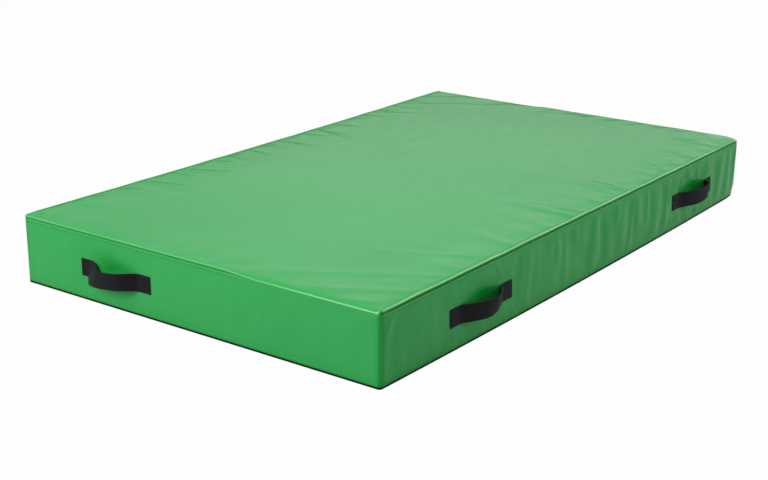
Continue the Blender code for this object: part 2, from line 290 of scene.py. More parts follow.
grain, given, put_out = new_group(
    "grain", [("Vector", "Vector", NO_PLACE), ("Pebble Size", "Float", 0.001)], [("Height", "Float")]
)
finer = add_math(grain, "DIVIDE", 1.0, given["Pebble Size"])
pebbles = add_node(
    grain,
    "ShaderNodeTexVoronoi",
    {"Vector": given["Vector"], "Scale": finer, "Smoothness": 0.6},
    feature="SMOOTH_F1",
)
roughened = add_node(grain, "ShaderNodeTexNoise", {"Vector": given["Vector"], "Scale": finer, "Detail": 3.0})
fill(grain, put_out["Height"], add_math(grain, "ADD", pebbles.outputs["Distance"], roughened.outputs[0]))

weave, given, put_out = new_group(
    "weave",
    [("Vector", "Vector", NO_PLACE), ("Warp Pitch", "Float", 0.002), ("Weft Pitch", "Float", 0.001)],
    [("Height", "Float"), ("Thread", "Float")],
)
parts = add_node(weave, "ShaderNodeSeparateXYZ", {0: given["Vector"]}).outputs
warp_turns = add_math(weave, "DIVIDE", parts["Y"], given["Warp Pitch"])
weft_turns = add_math(weave, "DIVIDE", parts["X"], given["Weft Pitch"])
warp_side = add_math(weave, "FLOORED_MODULO", add_math(weave, "FLOOR", warp_turns), 2.0)
shifted = add_math(weave, "ADD", weft_turns, add_math(weave, "MULTIPLY", warp_side, 0.5))
across_thread = add_math(weave, "PINGPONG", warp_turns, 0.5)
along_thread = add_math(weave, "SINE", add_math(weave, "MULTIPLY", shifted, math.tau))
rounded = add_math(weave, "POWER", add_math(weave, "MULTIPLY", across_thread, 2.0), 0.5)
lifted = add_math(weave, "ADD", add_math(weave, "MULTIPLY", along_thread, 0.35), 0.65)
fill(weave, put_out["Height"], add_math(weave, "MULTIPLY", rounded, lifted))
fill(weave, put_out["Thread"], lifted)
print("shared effects:", [group.name for group in (mottle, grain, weave)])


# %% Colour and weave of a finish
def drifting(tree, patch_size, dark, light):
    """A colour that drifts between two tones over the surface, and the mask of its patches."""
    points = object_points(tree)
    return place_group(tree, mottle, vector=points, patch_size=patch_size, dark=dark, light=light)


def colour_by_patches(tree, patch_size, dark, light):
    """Feeds the shader a colour that drifts between two tones, and gives the mask of its patches."""
    tone = drifting(tree, patch_size, dark, light)
    feed(tree, "Base Color", tone["Color"])
    return tone["Mask"]


def add_weave(tree, vector, warp_pitch, weft_pitch, depth):
    """Adds the relief of a weave, and gives the mask of its upper threads."""
    threads = place_group(tree, weave, vector=vector, warp_pitch=warp_pitch, weft_pitch=weft_pitch)
    add_relief(tree, threads["Height"], depth)
    return threads["Thread"]


# %% [markdown]
# ## The shape that the cover is stretched over
#
# The top is crowned by a few millimetres and the long sides swell a little at the bottom, where the foam's
# weight pushes them out. Each upright corner has its own small radius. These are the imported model's own
# sizes, so that the cloth lies where the solids are. `shaped` puts a point of the plain block in its place
# on the padded mat, and every piece below uses it.

# %% Sizes of the mat
CROWN = 0.008
SIDE_SWELL = 0.010
CORNER_RADII = {(1, -1): 0.009, (1, 1): 0.026, (-1, -1): 0.012, (-1, 1): 0.018}
CLEARANCE = 0.0003
COVER_THICKNESS = 0.001

HALF_LENGTH = -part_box("cover_front")[0].y
HALF_WIDTH = 0.6
EDGE_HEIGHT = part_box("cover_top")[1].z - CROWN
BASE_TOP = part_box("non_slip_base")[1].z
print("half width", HALF_WIDTH, "half length", round(HALF_LENGTH, 4), "edge height", round(EDGE_HEIGHT, 4))


def shaped(points):
    """Where points of the plain block lie on the crowned and swollen mat."""
    x, y, z = np.array(points, float).T
    across = np.clip(np.abs(x) / HALF_WIDTH, 0, 1)
    along = np.clip(np.abs(y) / HALF_LENGTH, 0, 1)
    height_share = z / EDGE_HEIGHT
    swell = SIDE_SWELL * (1 - along**2) * (1 - height_share)
    crown = CROWN * (1 - across**2) * (1 - along**2) * height_share
    return np.stack([x * (1 + swell / HALF_WIDTH), y, z + crown], axis=1)


def face_frame(turn, along, height):
    """A frame on the outside of a side: X to the right along it, -Y out of it, Z up it. The turn is 0 for the
    front, then quarter turns for the right, rear and left sides."""
    distance = HALF_WIDTH if turn % 2 else HALF_LENGTH
    spin = Matrix.Rotation(turn * math.pi / 2, 3, "Z")

    def on_face(to_right, to_top):
        return Vector(shaped([spin @ Vector((along + to_right, -distance, height + to_top))])[0])

    step = 0.01
    rightwards = (on_face(step, 0) - on_face(-step, 0)).normalized()
    upwards = (on_face(0, step) - on_face(0, -step)).normalized()
    inward = upwards.cross(rightwards).normalized()
    return frame_at(on_face(0, 0), rightwards, inward, rightwards.cross(inward))


# %% [markdown]
# ## Where the handles are
#
# The handles come before the cover, because their stitching holds the cloth flat and the cover has to know
# where. Each loop slouches in its own way, so its stations are given one by one. The sides that the
# photograph hides carry the same handles, turned half round.

# %% Forms of the loops
WEBBING_WIDTH = 0.048
WEBBING_THICKNESS = 0.002
SEWN_END = 0.042
UPPER = WEBBING_WIDTH / 2
LOWER = -WEBBING_WIDTH / 2

# A loop is a band between two edges. Each station gives its upper and its lower edge in millimetres: the
# place along the side from the handle's middle, the distance out of the side, and the height over that middle.
TWISTED_LOOP = [
    ((-96, 0, 24), (-108, 0, -24)),
    ((-84, 1, 24), (-102, 1, -24)),
    ((-66, 5, 19), (-96, 7, -27)),
    ((-53, 15, 7), (-87, 15, -30)),
    ((-49, 27, 7), (-76, 25, -32)),
    ((-44, 38, 17), (-58, 35, -30)),
    ((-14, 42, 20), (-22, 42, -27)),
    ((36, 37, 24), (34, 36, -23)),
    ((66, 14, 25), (66, 13, -23)),
    ((80, 2, 24), (80, 2, -24)),
    ((88, 0, 24), (88, 0, -24)),
]
SLANTED_LOOP = [
    ((-100, 0, 24), (-100, 0, -24)),
    ((-88, 3, 24), (-88, 3, -24)),
    ((-50, 19, 21), (-50, 16, -27)),
    ((-10, 32, 19), (-10, 26, -29)),
    ((20, 36, 22), (20, 28, -25)),
    ((37, 34, 25), (38, 25, -21)),
    ((47, 27, 25), (48, 20, -22)),
    ((78, 8, 24), (78, 6, -24)),
    ((90, 1, 24), (90, 1, -24)),
    ((98, 0, 24), (98, 0, -24)),
]
SQUARE_LOOP = [
    ((-100, 0, 24), (-100, 0, -24)),
    ((-88, 3, 24), (-88, 3, -24)),
    ((-50, 18, 21), (-50, 15, -26)),
    ((-10, 29, 20), (-10, 26, -27)),
    ((30, 33, 23), (30, 30, -24)),
    ((51, 34, 26), (54, 29, -20)),
    ((62, 29, 26), (64, 24, -21)),
    ((78, 14, 25), (79, 11, -23)),
    ((92, 2, 24), (92, 1, -24)),
    ((98, 0, 24), (98, 0, -24)),
]

# %% Places of the handles
# The middle of a handle from the nearest corner: on a short side, and near and far on a long side.
SHORT_SIDE_PLACE = 0.350
NEAR_PLACE = 0.417
FAR_PLACE = 0.364

# A handle's height, the free length between its sewn ends, how far its solid stands out, how much of its left
# end is sewn, and the middle and the reach of the shade behind its loop.
SHORT_SIDE = {"height": 0.092, "span": 0.168, "bow": 0.041, "first_sewn": 0.018, "shade": (-0.022, 0.058)}
LONG_SIDE = {"height": 0.087, "span": 0.196, "bow": 0.030, "first_sewn": SEWN_END, "shade": (0.010, 0.078)}
HANDLES = {
    "front_handle": dict(SHORT_SIDE, turn=0, along=SHORT_SIDE_PLACE - HALF_WIDTH, loop=TWISTED_LOOP),
    "right_front_handle": dict(LONG_SIDE, turn=1, along=NEAR_PLACE - HALF_LENGTH, loop=SLANTED_LOOP),
    "right_rear_handle": dict(LONG_SIDE, turn=1, along=HALF_LENGTH - FAR_PLACE, loop=SQUARE_LOOP),
    "rear_handle": dict(SHORT_SIDE, turn=2, along=SHORT_SIDE_PLACE - HALF_WIDTH, loop=TWISTED_LOOP),
    "left_rear_handle": dict(LONG_SIDE, turn=3, along=NEAR_PLACE - HALF_LENGTH, loop=SLANTED_LOOP),
    "left_front_handle": dict(LONG_SIDE, turn=3, along=HALF_LENGTH - FAR_PLACE, loop=SQUARE_LOOP),
}
print(len(HANDLES), "handles")


# %% The cloth round a handle
SIDE_REACH = 0.03
SHADE_RISE = 0.029
SHADE_HEIGHT = 0.025


def handle_frame(name):
    handle = HANDLES[name]
    return face_frame(handle["turn"], handle["along"], handle["height"])


def around_handles(points):
    """For each handle: its sizes, where points lie along and above its middle, and which are on its side."""
    for name, handle in HANDLES.items():
        x, y, z = put_in_frame(points, handle_frame(name).inverted()).T
        yield handle, x, z, np.abs(y) < SIDE_REACH


def sewn_share(points, margin, whole_strap=False):
    """1 under the handles' sewn ends, or their whole straps, falling to 0 over the margin round them."""
    share = np.zeros(len(points))
    for handle, x, z, on_side in around_handles(points):
        end_middle = (handle["span"] + SEWN_END) / 2
        beside = np.abs(np.abs(x) - end_middle) - SEWN_END / 2
        if whole_strap:
            beside = np.abs(x) - handle["span"] / 2 - SEWN_END
        distance = np.hypot(np.maximum(beside, 0), np.maximum(np.abs(z) - UPPER, 0))
        share = np.maximum(share, (1 - smooth(0.1 * margin, margin, distance)) * on_side)
    return share


def behind_loops(points):
    """Painted shadow of each loop on the cover: 1 just above its strap, falling softly to 0 round that place.
    """
    share = np.zeros(len(points))
    for handle, x, z, on_side in around_handles(points):
        share = np.maximum(share, bell(x, *handle["shade"]) * bell(z, SHADE_RISE, SHADE_HEIGHT) * on_side)
    return share


# %% [markdown]
# ## The cover's mesh
#
# The five cover panels meet in sewn seams, and a pucker that starts in a seam runs on into both panels. So
# the whole cover is first one mesh, and it is cut into its panels at the end. It starts as a flat grid, and
# its rim is extruded down in steps, as one would pull a cloth over a box. The grid's rows are not even: they
# are close together at the seams, where the shape is fine, and wide apart in the middle of a panel.


# %% Rows of the mesh
def growing_steps(length, fine, reach, growth, widest):
    """Distances from a seam: fine steps up to the reach, then growing ones."""
    places = [0.0]
    step = fine
    while places[-1] < length:
        if places[-1] > reach - fine / 2:
            step = min(step * growth, widest)
        places.append(places[-1] + step)
    return np.array(places[:-1])


def rows_between_seams(half, *spacing):
    """Rows from one seam to the opposite one, the same on both halves."""
    distances = growing_steps(half, *spacing)
    distances = distances[half - distances > spacing[-1] / 2]
    return np.concatenate([distances - half, [0], half - distances[::-1]])


TOP_RIM = 0.0095
SEAM_STEP = TOP_RIM / 7
GROWTH = (1.3, 0.0105)
ZIP_HEIGHT = 0.030
SLOT_HALF_HEIGHT = 0.00835
SLOT_HALF_LENGTH = 0.5462
LEVELS_BY_THE_ZIP = 0.044
columns = rows_between_seams(HALF_WIDTH, SEAM_STEP, 0.012, *GROWTH)
rows = rows_between_seams(HALF_LENGTH, SEAM_STEP, 0.012, *GROWTH)
for slot_end in (-SLOT_HALF_LENGTH, SLOT_HALF_LENGTH):
    columns[np.abs(columns - slot_end).argmin()] = slot_end
upper_levels = EDGE_HEIGHT - growing_steps(EDGE_HEIGHT - LEVELS_BY_THE_ZIP, SEAM_STEP, 0.024, *GROWTH)
slot_levels = [ZIP_HEIGHT + SLOT_HALF_HEIGHT, ZIP_HEIGHT, ZIP_HEIGHT - SLOT_HALF_HEIGHT]
hem_levels = [0.0190, 0.0165, 0.0142, 0.0120, 0.0100, 0.0082, 0.0068, 0.0057, BASE_TOP + CLEARANCE]
levels = np.concatenate([upper_levels, slot_levels, hem_levels])
print(len(columns), "columns,", len(rows), "rows and", len(levels), "levels")


# %% Pull a grid over the block
def pulled_grid(columns, rows, level_count):
    """A grid with its rim extruded down, and the column, row and level of each of its points."""
    bpy.ops.mesh.primitive_grid_add(
        x_subdivisions=len(columns) - 1, y_subdivisions=len(rows) - 1, size=2, calc_uvs=False
    )
    piece = bpy.context.object
    with editing(piece):
        bpy.ops.mesh.region_to_loop()
        for step in range(1, level_count):
            bpy.ops.mesh.extrude_region_move(TRANSFORM_OT_translate={"value": (0, 0, -1)})
    x, y, z = points_of(piece.data).T
    column = grid_index(x, len(columns))
    row = grid_index(y, len(rows))
    return piece, columns[column], rows[row], np.rint(-z).astype(int)


def rounded_plan(flat_x, flat_y):
    """Moves points of the plain rectangle to the plan with rounded corners, and gives the way out there."""
    radius = np.zeros(len(flat_x))
    for (side_x, side_y), size in CORNER_RADII.items():
        radius[(np.sign(flat_x) == side_x) & (np.sign(flat_y) == side_y)] = size
    past_x = np.maximum(np.abs(flat_x) - (HALF_WIDTH - radius), 0)
    past_y = np.maximum(np.abs(flat_y) - (HALF_LENGTH - radius), 0)
    in_corner = (past_x > 0) & (past_y > 0)
    longest = np.maximum(np.hypot(past_x, past_y), 1e-12)
    keep = np.where(in_corner, np.maximum(past_x, past_y) / longest, 1)
    x = np.sign(flat_x) * (np.abs(flat_x) - past_x + past_x * keep)
    y = np.sign(flat_y) * (np.abs(flat_y) - past_y + past_y * keep)
    nearer_long_side = HALF_WIDTH - np.abs(flat_x) < HALF_LENGTH - np.abs(flat_y)
    out_x = np.where(nearer_long_side, np.sign(flat_x), 0)
    out_y = np.where(nearer_long_side, 0, np.sign(flat_y))
    out_x = np.where(in_corner, np.sign(flat_x) * past_x / longest, out_x)
    out_y = np.where(in_corner, np.sign(flat_y) * past_y / longest, out_y)
    return x, y, out_x, out_y


def over_the_edge(flat_x, flat_y, down, edge_round):
    """Points at a distance down past the edge, or in from it where that is negative, on a rounded edge.
    Gives the plain block's points with their depth below the flat face, and the normals there."""
    x, y, out_x, out_y = rounded_plan(flat_x, flat_y)
    bend = np.clip((down + edge_round) / (2 * edge_round), 0, 1) * math.pi / 2
    on_bend = np.abs(down) < edge_round
    shift = np.where(on_bend, edge_round * (np.sin(bend) - 1) - np.minimum(down, 0), 0)
    depth = np.where(on_bend, edge_round * (1 - np.cos(bend)), np.maximum(down, 0))
    normals = np.stack([out_x * np.sin(bend), out_y * np.sin(bend), np.cos(bend)], axis=1)
    return x + shift * out_x, y + shift * out_y, depth, normals


# %% The smooth cover
EDGE_ROUND = 0.005
cover, flat_x, flat_y, level = pulled_grid(columns, rows, len(levels))
in_from_long = HALF_WIDTH - np.abs(flat_x)
in_from_short = HALF_LENGTH - np.abs(flat_y)
inward = np.minimum(in_from_long, in_from_short)
down = np.where(level == 0, -inward, EDGE_HEIGHT - levels[level])
below = np.maximum(down, 0)
x, y, depth, normals = over_the_edge(flat_x, flat_y, down, EDGE_ROUND)
tight = shaped(np.stack([x, y, EDGE_HEIGHT - depth], axis=1))

on_top = level == 0
on_long_side = in_from_long <= in_from_short
from_corner = np.where(on_long_side, in_from_short, in_from_long)
from_left_corner = np.where(
    on_long_side,
    HALF_LENGTH + flat_y * np.sign(flat_x),
    HALF_WIDTH - flat_x * np.sign(flat_y),
)
side_length = np.where(on_long_side, 2 * HALF_LENGTH, 2 * HALF_WIDTH)
print(len(tight), "points in the cover")

# %% [markdown]
# ## Wrinkles
#
# PVC cloth doesn't stretch much, and a seam gathers it by about one part in a hundred. The spare cloth
# stands up as soft folds: upright streaks on the long sides, and short fans on the top that start in the
# seam. Longer pulls run slantwise over the top into each long side near its left corner, one pucker sits
# under the seam there, and a few short ones fan out from the sewn ends of the handles. They could be painted
# as a bump, but a fold this wide has to turn the highlight and show in the outline. So a gentle pattern of
# folds is laid down first, one bell-shaped ridge after another, and a cloth simulation then lets the spare
# cloth settle into them.

# %% Places along the seams
PANEL_SIDES = ((True, 1), (True, -1), (False, -1), (False, 1))
SHORT_SIDE_STRENGTH = 0.15
random = np.random.default_rng(11)


def along_seams(spacing):
    """Uneven places along each seam, with the points nearest to it and the strength of a fold there."""
    for long_side, direction in PANEL_SIDES:
        chosen = on_long_side if long_side else ~on_long_side
        chosen = chosen & (np.sign(flat_x if long_side else flat_y) == direction)
        length = 2 * HALF_LENGTH if long_side else 2 * HALF_WIDTH
        count = int(length / spacing)
        for place in (np.arange(count) + random.uniform(0.15, 0.85, count)) * length / count:
            strength = 0.3 + 0.7 * smooth(0.4, 1.0, place) if long_side else SHORT_SIDE_STRENGTH
            yield chosen, place, strength


# %% Folds along the seams
def upright_folds(spacing, width, height, lean):
    """Ridges that run down the sides. Gives how far each point of the cover stands out."""
    out = np.zeros(len(flat_x))
    between_seams = smooth(0.012, 0.05, below) * smooth(EDGE_HEIGHT, EDGE_HEIGHT - 0.045, below)
    for chosen, place, strength in along_seams(spacing):
        fold_width = width * random.uniform(0.6, 1.5)
        fold_lean = lean + random.uniform(-0.16, 0.16)
        fold_height = height * random.uniform(0.3, 1.0) * strength
        ends_at = random.uniform(0.09, 0.30)
        aside = from_left_corner - place + fold_lean * (below - EDGE_HEIGHT / 2)
        ridge = bell(aside, 0, fold_width * (0.7 + 3 * below)) - 0.35 * bell(aside, 0, 2.2 * fold_width)
        ridge = ridge * between_seams * smooth(ends_at, ends_at - 0.06, below)
        out = out + np.where(chosen & ~on_top, ridge * fold_height, 0)
    return out


def fanned_folds(spacing, width, height):
    """Short ridges on the top, which start in a seam and widen as they fade."""
    out = np.zeros(len(flat_x))
    for chosen, place, strength in along_seams(spacing):
        fold_width = width * random.uniform(0.7, 1.4)
        fold_lean = random.uniform(-0.30, 0.30)
        fold_height = height * random.uniform(0.35, 1.0) ** 1.5 * strength
        fold_reach = random.uniform(0.09, 0.21)
        aside = from_left_corner - place + fold_lean * inward
        ridge = bell(aside, 0, fold_width * (0.6 + 7 * inward))
        ridge = ridge * smooth(0.006, 0.035, inward) * np.exp(-((inward / fold_reach) ** 2))
        out = out + np.where(chosen & on_top, ridge * fold_height, 0)
    return out


# %% Pulls at the corners and the handles
# Where a pull meets the side, how far it slants, how far it reaches, and its share of the full height.
CORNER_PULLS = [
    (0.055, 0.40, 0.16, 0.8),
    (0.150, 0.55, 0.22, 1.0),
    (0.290, 0.62, 0.30, 0.7),
    (0.460, 0.50, 0.24, 0.5),
]
# How far each of the three short pulls at a sewn end slants, up and down from it.
HANDLE_PULL_SLANTS = (-0.6, -0.1, 0.45)


def corner_pulls(width, height):
    """Long low ridges on the top that run slantwise into a long side, near the corner at its left end."""
    out = np.zeros(len(flat_x))
    for direction in (1, -1):
        from_end = HALF_LENGTH + flat_y * direction
        from_edge = HALF_WIDTH - flat_x * direction
        for place, slant, reach, share in CORNER_PULLS:
            ridge = bell(from_end - place + slant * from_edge, 0, width * (0.6 + 3 * from_edge))
            ridge = ridge * smooth(0.006, 0.040, from_edge) * np.exp(-((from_edge / reach) ** 2))
            out = out + np.where(on_top, ridge * height * share * smooth(0.0, 0.03, from_end), 0)
    return out


def corner_pucker(width, height):
    """One slanted ridge on each long side, under the seam by its left corner."""
    ridge = bell(from_left_corner, 0.050 - 0.40 * below, width) * smooth(0.008, 0.035, below)
    return np.where(on_long_side & ~on_top, ridge * smooth(0.10, 0.04, below) * height, 0)


def handle_pulls(width, height):
    """Ridges that fan up and down from the sewn ends of the handles on the long sides."""
    out = np.zeros(len(flat_x))
    for handle, x, z, on_side in around_handles(tight):
        past = np.maximum(np.abs(z) - UPPER, 0)
        nearby = on_side & ~on_top & (handle["turn"] % 2 == 1)
        for end in (-1, 1):
            for slant in HANDLE_PULL_SLANTS:
                aside = x - end * (handle["span"] + SEWN_END) / 2 - slant * (past + SEWN_END / 2)
                ridge = bell(aside, 0, width * (0.5 + 5 * past))
                ridge = ridge * smooth(0, 0.012, past) * bell(past, 0, 0.055)
                out = out + np.where(nearby, ridge * height, 0)
    return out


# %% All folds together
wrinkles = upright_folds(spacing=0.047, width=0.016, height=0.0062, lean=0.12)
wrinkles = wrinkles + fanned_folds(spacing=0.088, width=0.016, height=0.0060)
wrinkles = wrinkles + corner_pulls(width=0.016, height=0.0030)
wrinkles = wrinkles * (1 - sewn_share(tight, 0.030)) + handle_pulls(width=0.008, height=0.0032)
wrinkles = wrinkles + corner_pucker(width=0.013, height=0.0035)
held_flat = sewn_share(tight, 0.010)
calm = (1 - held_flat) * (1 - 0.8 * sewn_share(tight, 0.012, whole_strap=True))
wrinkles = wrinkles * calm * smooth(0, 0.04, side_length / 2 - np.abs(from_left_corner - side_length / 2))
settled = tight + normals * wrinkles[:, None]
print("folds stand out up to", round(float(wrinkles.max()) * 1000, 2), "mm")

# %% [markdown]
# ## Letting the cloth settle
#
# The simulation needs two maps. `hold` pins the cloth softly to where it was: strongly along the seams, the
# sewn ends and the base, and hardly at all in between. `spare` says how much the cloth grows, which is the
# length that the seam has gathered. The pressure of the foam keeps the folds from falling inwards. After
# eighteen frames the folds have shape. Coated cloth is stiff, so the moves are averaged with their
# neighbours', which takes out the small crinkles. No point may move further than a few millimetres, and the
# stitched places go back to exactly where they were. Last, the cover is kept from sinking where a backing
# patch lies behind it.

# %% Where the cloth is held and where it is spare
seam_band = bell(down, 0.004, 0.016)
more_along = 0.3 + 0.7 * smooth(0.5, 1.1, from_left_corner)
spare_on_top = np.maximum(0.5 * bell(in_from_long, 0, 0.12), 0.3 * bell(in_from_short, 0, 0.10))
spare_on_side = np.where(on_long_side, 1, 0.15)
spare = np.where(on_top, spare_on_top, spare_on_side) * np.where(on_long_side, more_along, 1)
spare = spare * (1 - seam_band) * (1 - held_flat)
hold_on_top = 0.02 + 0.5 * smooth(0.03, 0.22, inward)
hold_on_side = 0.02 + 0.98 * smooth(0.030, 0.012, EDGE_HEIGHT - down)
hold = np.where(on_top, hold_on_top, hold_on_side)
hold = np.maximum(hold, 0.85 * seam_band)
hold = np.maximum(hold, 0.8 * bell(np.hypot(in_from_long, in_from_short), 0, 0.03))
hold = np.maximum(hold, 0.97 * held_flat)
print("the cloth is held by", round(float(hold.mean()), 2), "on average")

# %% Simulate the cloth
SPARE_CLOTH = 0.007
FURTHEST_MOVE = 0.005
FRAMES = 18
EVENING_ROUNDS = 6
CLOTH_SETTINGS = {"shrink_min": -SPARE_CLOTH, "shrink_max": 0.0, "quality": 5, "mass": 0.1, "air_damping": 3}
CLOTH_SETTINGS.update(use_pressure=True, uniform_pressure_force=0.15)
# How stiff the cloth is, and how soon it calms down, in each way that it can be deformed.
DEFORMATIONS = (("tension", 60, 10), ("compression", 60, 10), ("shear", 20, 10), ("bending", 4.0, 1))
for way, stiffness, damping in DEFORMATIONS:
    CLOTH_SETTINGS.update({way + "_stiffness": stiffness, way + "_damping": damping})


def add_weights(piece, name, weights):
    group = piece.vertex_groups.new(name=name)
    for index, weight in enumerate(weights):
        group.add([index], float(weight), "REPLACE")
    return name


def settle_cloth(piece):
    """Runs the cloth simulation on the piece and leaves its last frame in the mesh."""
    take(piece)
    cloth = piece.modifiers.new("cloth", "CLOTH")
    cloth.settings.vertex_group_mass = add_weights(piece, "hold", hold)
    cloth.settings.vertex_group_shrink = add_weights(piece, "spare", 1 - spare)
    for setting, value in CLOTH_SETTINGS.items():
        setattr(cloth.settings, setting, value)
    cloth.settings.effector_weights.gravity = 0
    for step in range(1, FRAMES + 1):
        bpy.context.scene.frame_set(step)
    bpy.ops.object.modifier_apply(modifier=cloth.name)
    bpy.context.scene.frame_set(1)
    piece.vertex_groups.clear()


def evened(piece, moves, rounds):
    """The moves of a mesh's points, each averaged a few times with those of its neighbours."""
    ends = np.empty(len(piece.data.edges) * 2, int)
    piece.data.edges.foreach_get("vertices", ends)
    first, second = ends.reshape(-1, 2).T
    neighbours = np.bincount(ends, minlength=len(moves))
    for turn in range(rounds):
        total = [
            np.bincount(first, part[second], len(moves)) + np.bincount(second, part[first], len(moves))
            for part in moves.T
        ]
        moves = (moves + np.stack(total, axis=1) / neighbours[:, None]) / 2
    return moves


move_points(cover.data, settled)
settle_cloth(cover)
moved = evened(cover, points_of(cover.data) - settled, EVENING_ROUNDS)
distance = np.linalg.norm(moved, axis=1)
allowed = FURTHEST_MOVE * np.tanh(distance / FURTHEST_MOVE)
moved = moved * (allowed / np.maximum(distance, 1e-9) * (1 - held_flat))[:, None]
settled = settled + moved
print("the cloth settled by up to", round(float(distance.max()) * 1000, 1), "mm")

over_patches = smooth(0, 0.5, sewn_share(tight, 0.040, whole_strap=True))
sunk = np.minimum(((settled - tight) * normals).sum(axis=1), 0)
settled = settled - normals * (sunk * over_patches)[:, None]

# %% [markdown]
# ## Seams
#
# The top panel is turned down over the sides and sewn there. From the outside that is a rolled edge, a deep
# groove where the panels are pulled together, and a flat lip where the spare cloth lies behind the side
# panel, down to a last faint line of stitching. Over the right third of each short side the roll has been
# pulled flat into one soft shoulder. At an upright corner there is a narrow crease with a folded band beside
# it. All of this is a height over the smooth cover, so it is added along the cover's normals.


# %% Helpers for the seams
SIDE_STRIDE = 2.3


def by_side(on_long, on_short):
    """One value on the long sides and another on the short ones."""
    return np.where(on_long_side, on_long, on_short)


def across_seam(place, width):
    """A bell across the seam. The place is how far down its middle is."""
    return bell(down, place, width)


def waves(distance, period, seed):
    """A slow, uneven wave between about -1 and 1."""
    phases = np.random.default_rng(seed).uniform(0, math.tau, 3)
    parts = zip((1.0, 0.61, 0.43), (0.6, 0.4, 0.15), phases)
    return sum(share * np.sin(distance * math.tau / (period * part) + phase) for part, share, phase in parts)


side_number = by_side(1, 0) + np.where(by_side(flat_x, -flat_y) > 0, 0, 2)
perimeter = from_left_corner + side_number * SIDE_STRIDE

# %% Relief of the seams
rolled = by_side(1, 1 - smooth(0.72, 0.84, from_left_corner))
groove_depth = by_side(0.0028 + 0.0006 * waves(perimeter, 0.5, 3), 0.0026)
groove_place = by_side(0.0078, 0.0066)
groove_width = by_side(0.0037, 0.0020)
line_place = by_side(0.0174, 0.0150)
roll = 0.0026 * across_seam(0.0005, 0.0040) - 0.0012 * across_seam(-0.0080, 0.0034)
roll = roll * by_side(1, 0.35)
groove = -groove_depth * across_seam(groove_place, groove_width)
lip = 0.0005 * across_seam(line_place - 0.0050, 0.0032) - 0.0008 * across_seam(line_place, 0.0019)
lip = lip * by_side(1, 0.6)
seam = rolled * (roll + groove + lip) + (1 - rolled) * -0.0006 * across_seam(groove_place, 0.0020)
seam = seam * smooth(-0.006, 0.050, from_corner)

height = EDGE_HEIGHT - down
hem = 0.0004 * bell(height, 0.0085, 0.0035) - 0.0007 * bell(height, 0.0145, 0.0022)
hem = hem - 0.0012 * bell(height, BASE_TOP, 0.0012)

corner = -0.0009 * bell(from_corner, 0, 0.0026)
band = 0.0005 * (1 - smooth(0.012, 0.030, from_corner)) * smooth(0.001, 0.004, from_corner)
corner = corner + by_side(band, 0)
corner = np.where(on_top, 0, corner * smooth(0.002, 0.012, down))

slot_x = np.abs(flat_x) - SLOT_HALF_LENGTH
slot_z = np.abs(height - ZIP_HEIGHT) - SLOT_HALF_HEIGHT
from_slot = np.hypot(np.maximum(slot_x, 0), np.maximum(slot_z, 0))
by_zip = (flat_y > HALF_LENGTH - 1e-6) & ~on_top
zip_hem = np.where(by_zip, 0.0005 * bell(from_slot, 0.0045, 0.0035), 0)

relief = seam + np.where(on_top, 0, hem + zip_hem) + corner
settled = settled + normals * relief[:, None]
print("the seams stand out", round(float(relief.max()) * 1000, 1), "mm at most")

# %% [markdown]
# ## Edges that wander
#
# No edge of a stuffed cover is straight. The seam wanders by a millimetre, the shoulder lies lower than the
# rolled seam, the upper left edge sags, and the corners stand up in small peaks. One corner is slack: its
# foot is drawn in, and its top lies lower.

# %% Wander, sag and peaks
WANDER = 0.0011
SHOULDER_DROP = 0.0050
LEFT_EDGE_SAG = 0.0045
CORNER_PEAK = 0.0015
SLACK_CORNER = (1, 1)
SLACK_DRAWN_IN = 0.005
SLACK_DROP = 0.006


def from_slack_corner(x, y):
    return np.hypot(x - SLACK_CORNER[0] * HALF_WIDTH, y - SLACK_CORNER[1] * HALF_LENGTH)


def drawn_in(points):
    """Where points lie once the foot of the slack corner is drawn in, as soft foam is by its cover."""
    x, y, z = points.T
    inwards = SLACK_DRAWN_IN * bell(from_slack_corner(x, y), 0, 0.045) * smooth(0.050, 0.0, z)
    return np.stack([x - SLACK_CORNER[0] * inwards, y - SLACK_CORNER[1] * inwards, z], axis=1)


near_edge = np.exp(-np.abs(down) / 0.035)
wander = WANDER * waves(perimeter, 0.26, 5) * near_edge * smooth(0, 0.10, from_corner)
wander = wander * np.where(flat_x < -HALF_WIDTH / 2, 0.35, 1)
settled[:, 2] += by_side(wander, 0.4 * wander)
settled[:, :2] += normals[:, :2] * (0.7 * wander)[:, None]

shoulder = (1 - rolled) * (1 - smooth(0, 0.018, inward)) * smooth(0, 0.02, in_from_long)
settled[:, 2] -= SHOULDER_DROP * np.where(on_top, shoulder, (1 - rolled) * smooth(0.03, 0, down))
sag = LEFT_EDGE_SAG * (1 - (flat_y / HALF_LENGTH) ** 2) * bell(np.maximum(inward, 0), 0, 0.10)
settled[:, 2] -= np.where((flat_x < 0) & on_long_side, sag * smooth(0.08, 0, below), 0)
corner_peak = CORNER_PEAK * bell(np.hypot(in_from_long, in_from_short), 0, 0.006)
settled[:, 2] += corner_peak * (np.abs(down) < 0.02)
settled[:, 2] -= SLACK_DROP * bell(from_slack_corner(flat_x, flat_y), 0, 0.030) * smooth(0.10, 0, below)
move_points(cover.data, drawn_in(settled))
print("the cover is", tuple(round(float(size), 4) for size in np.ptp(settled, axis=0)))
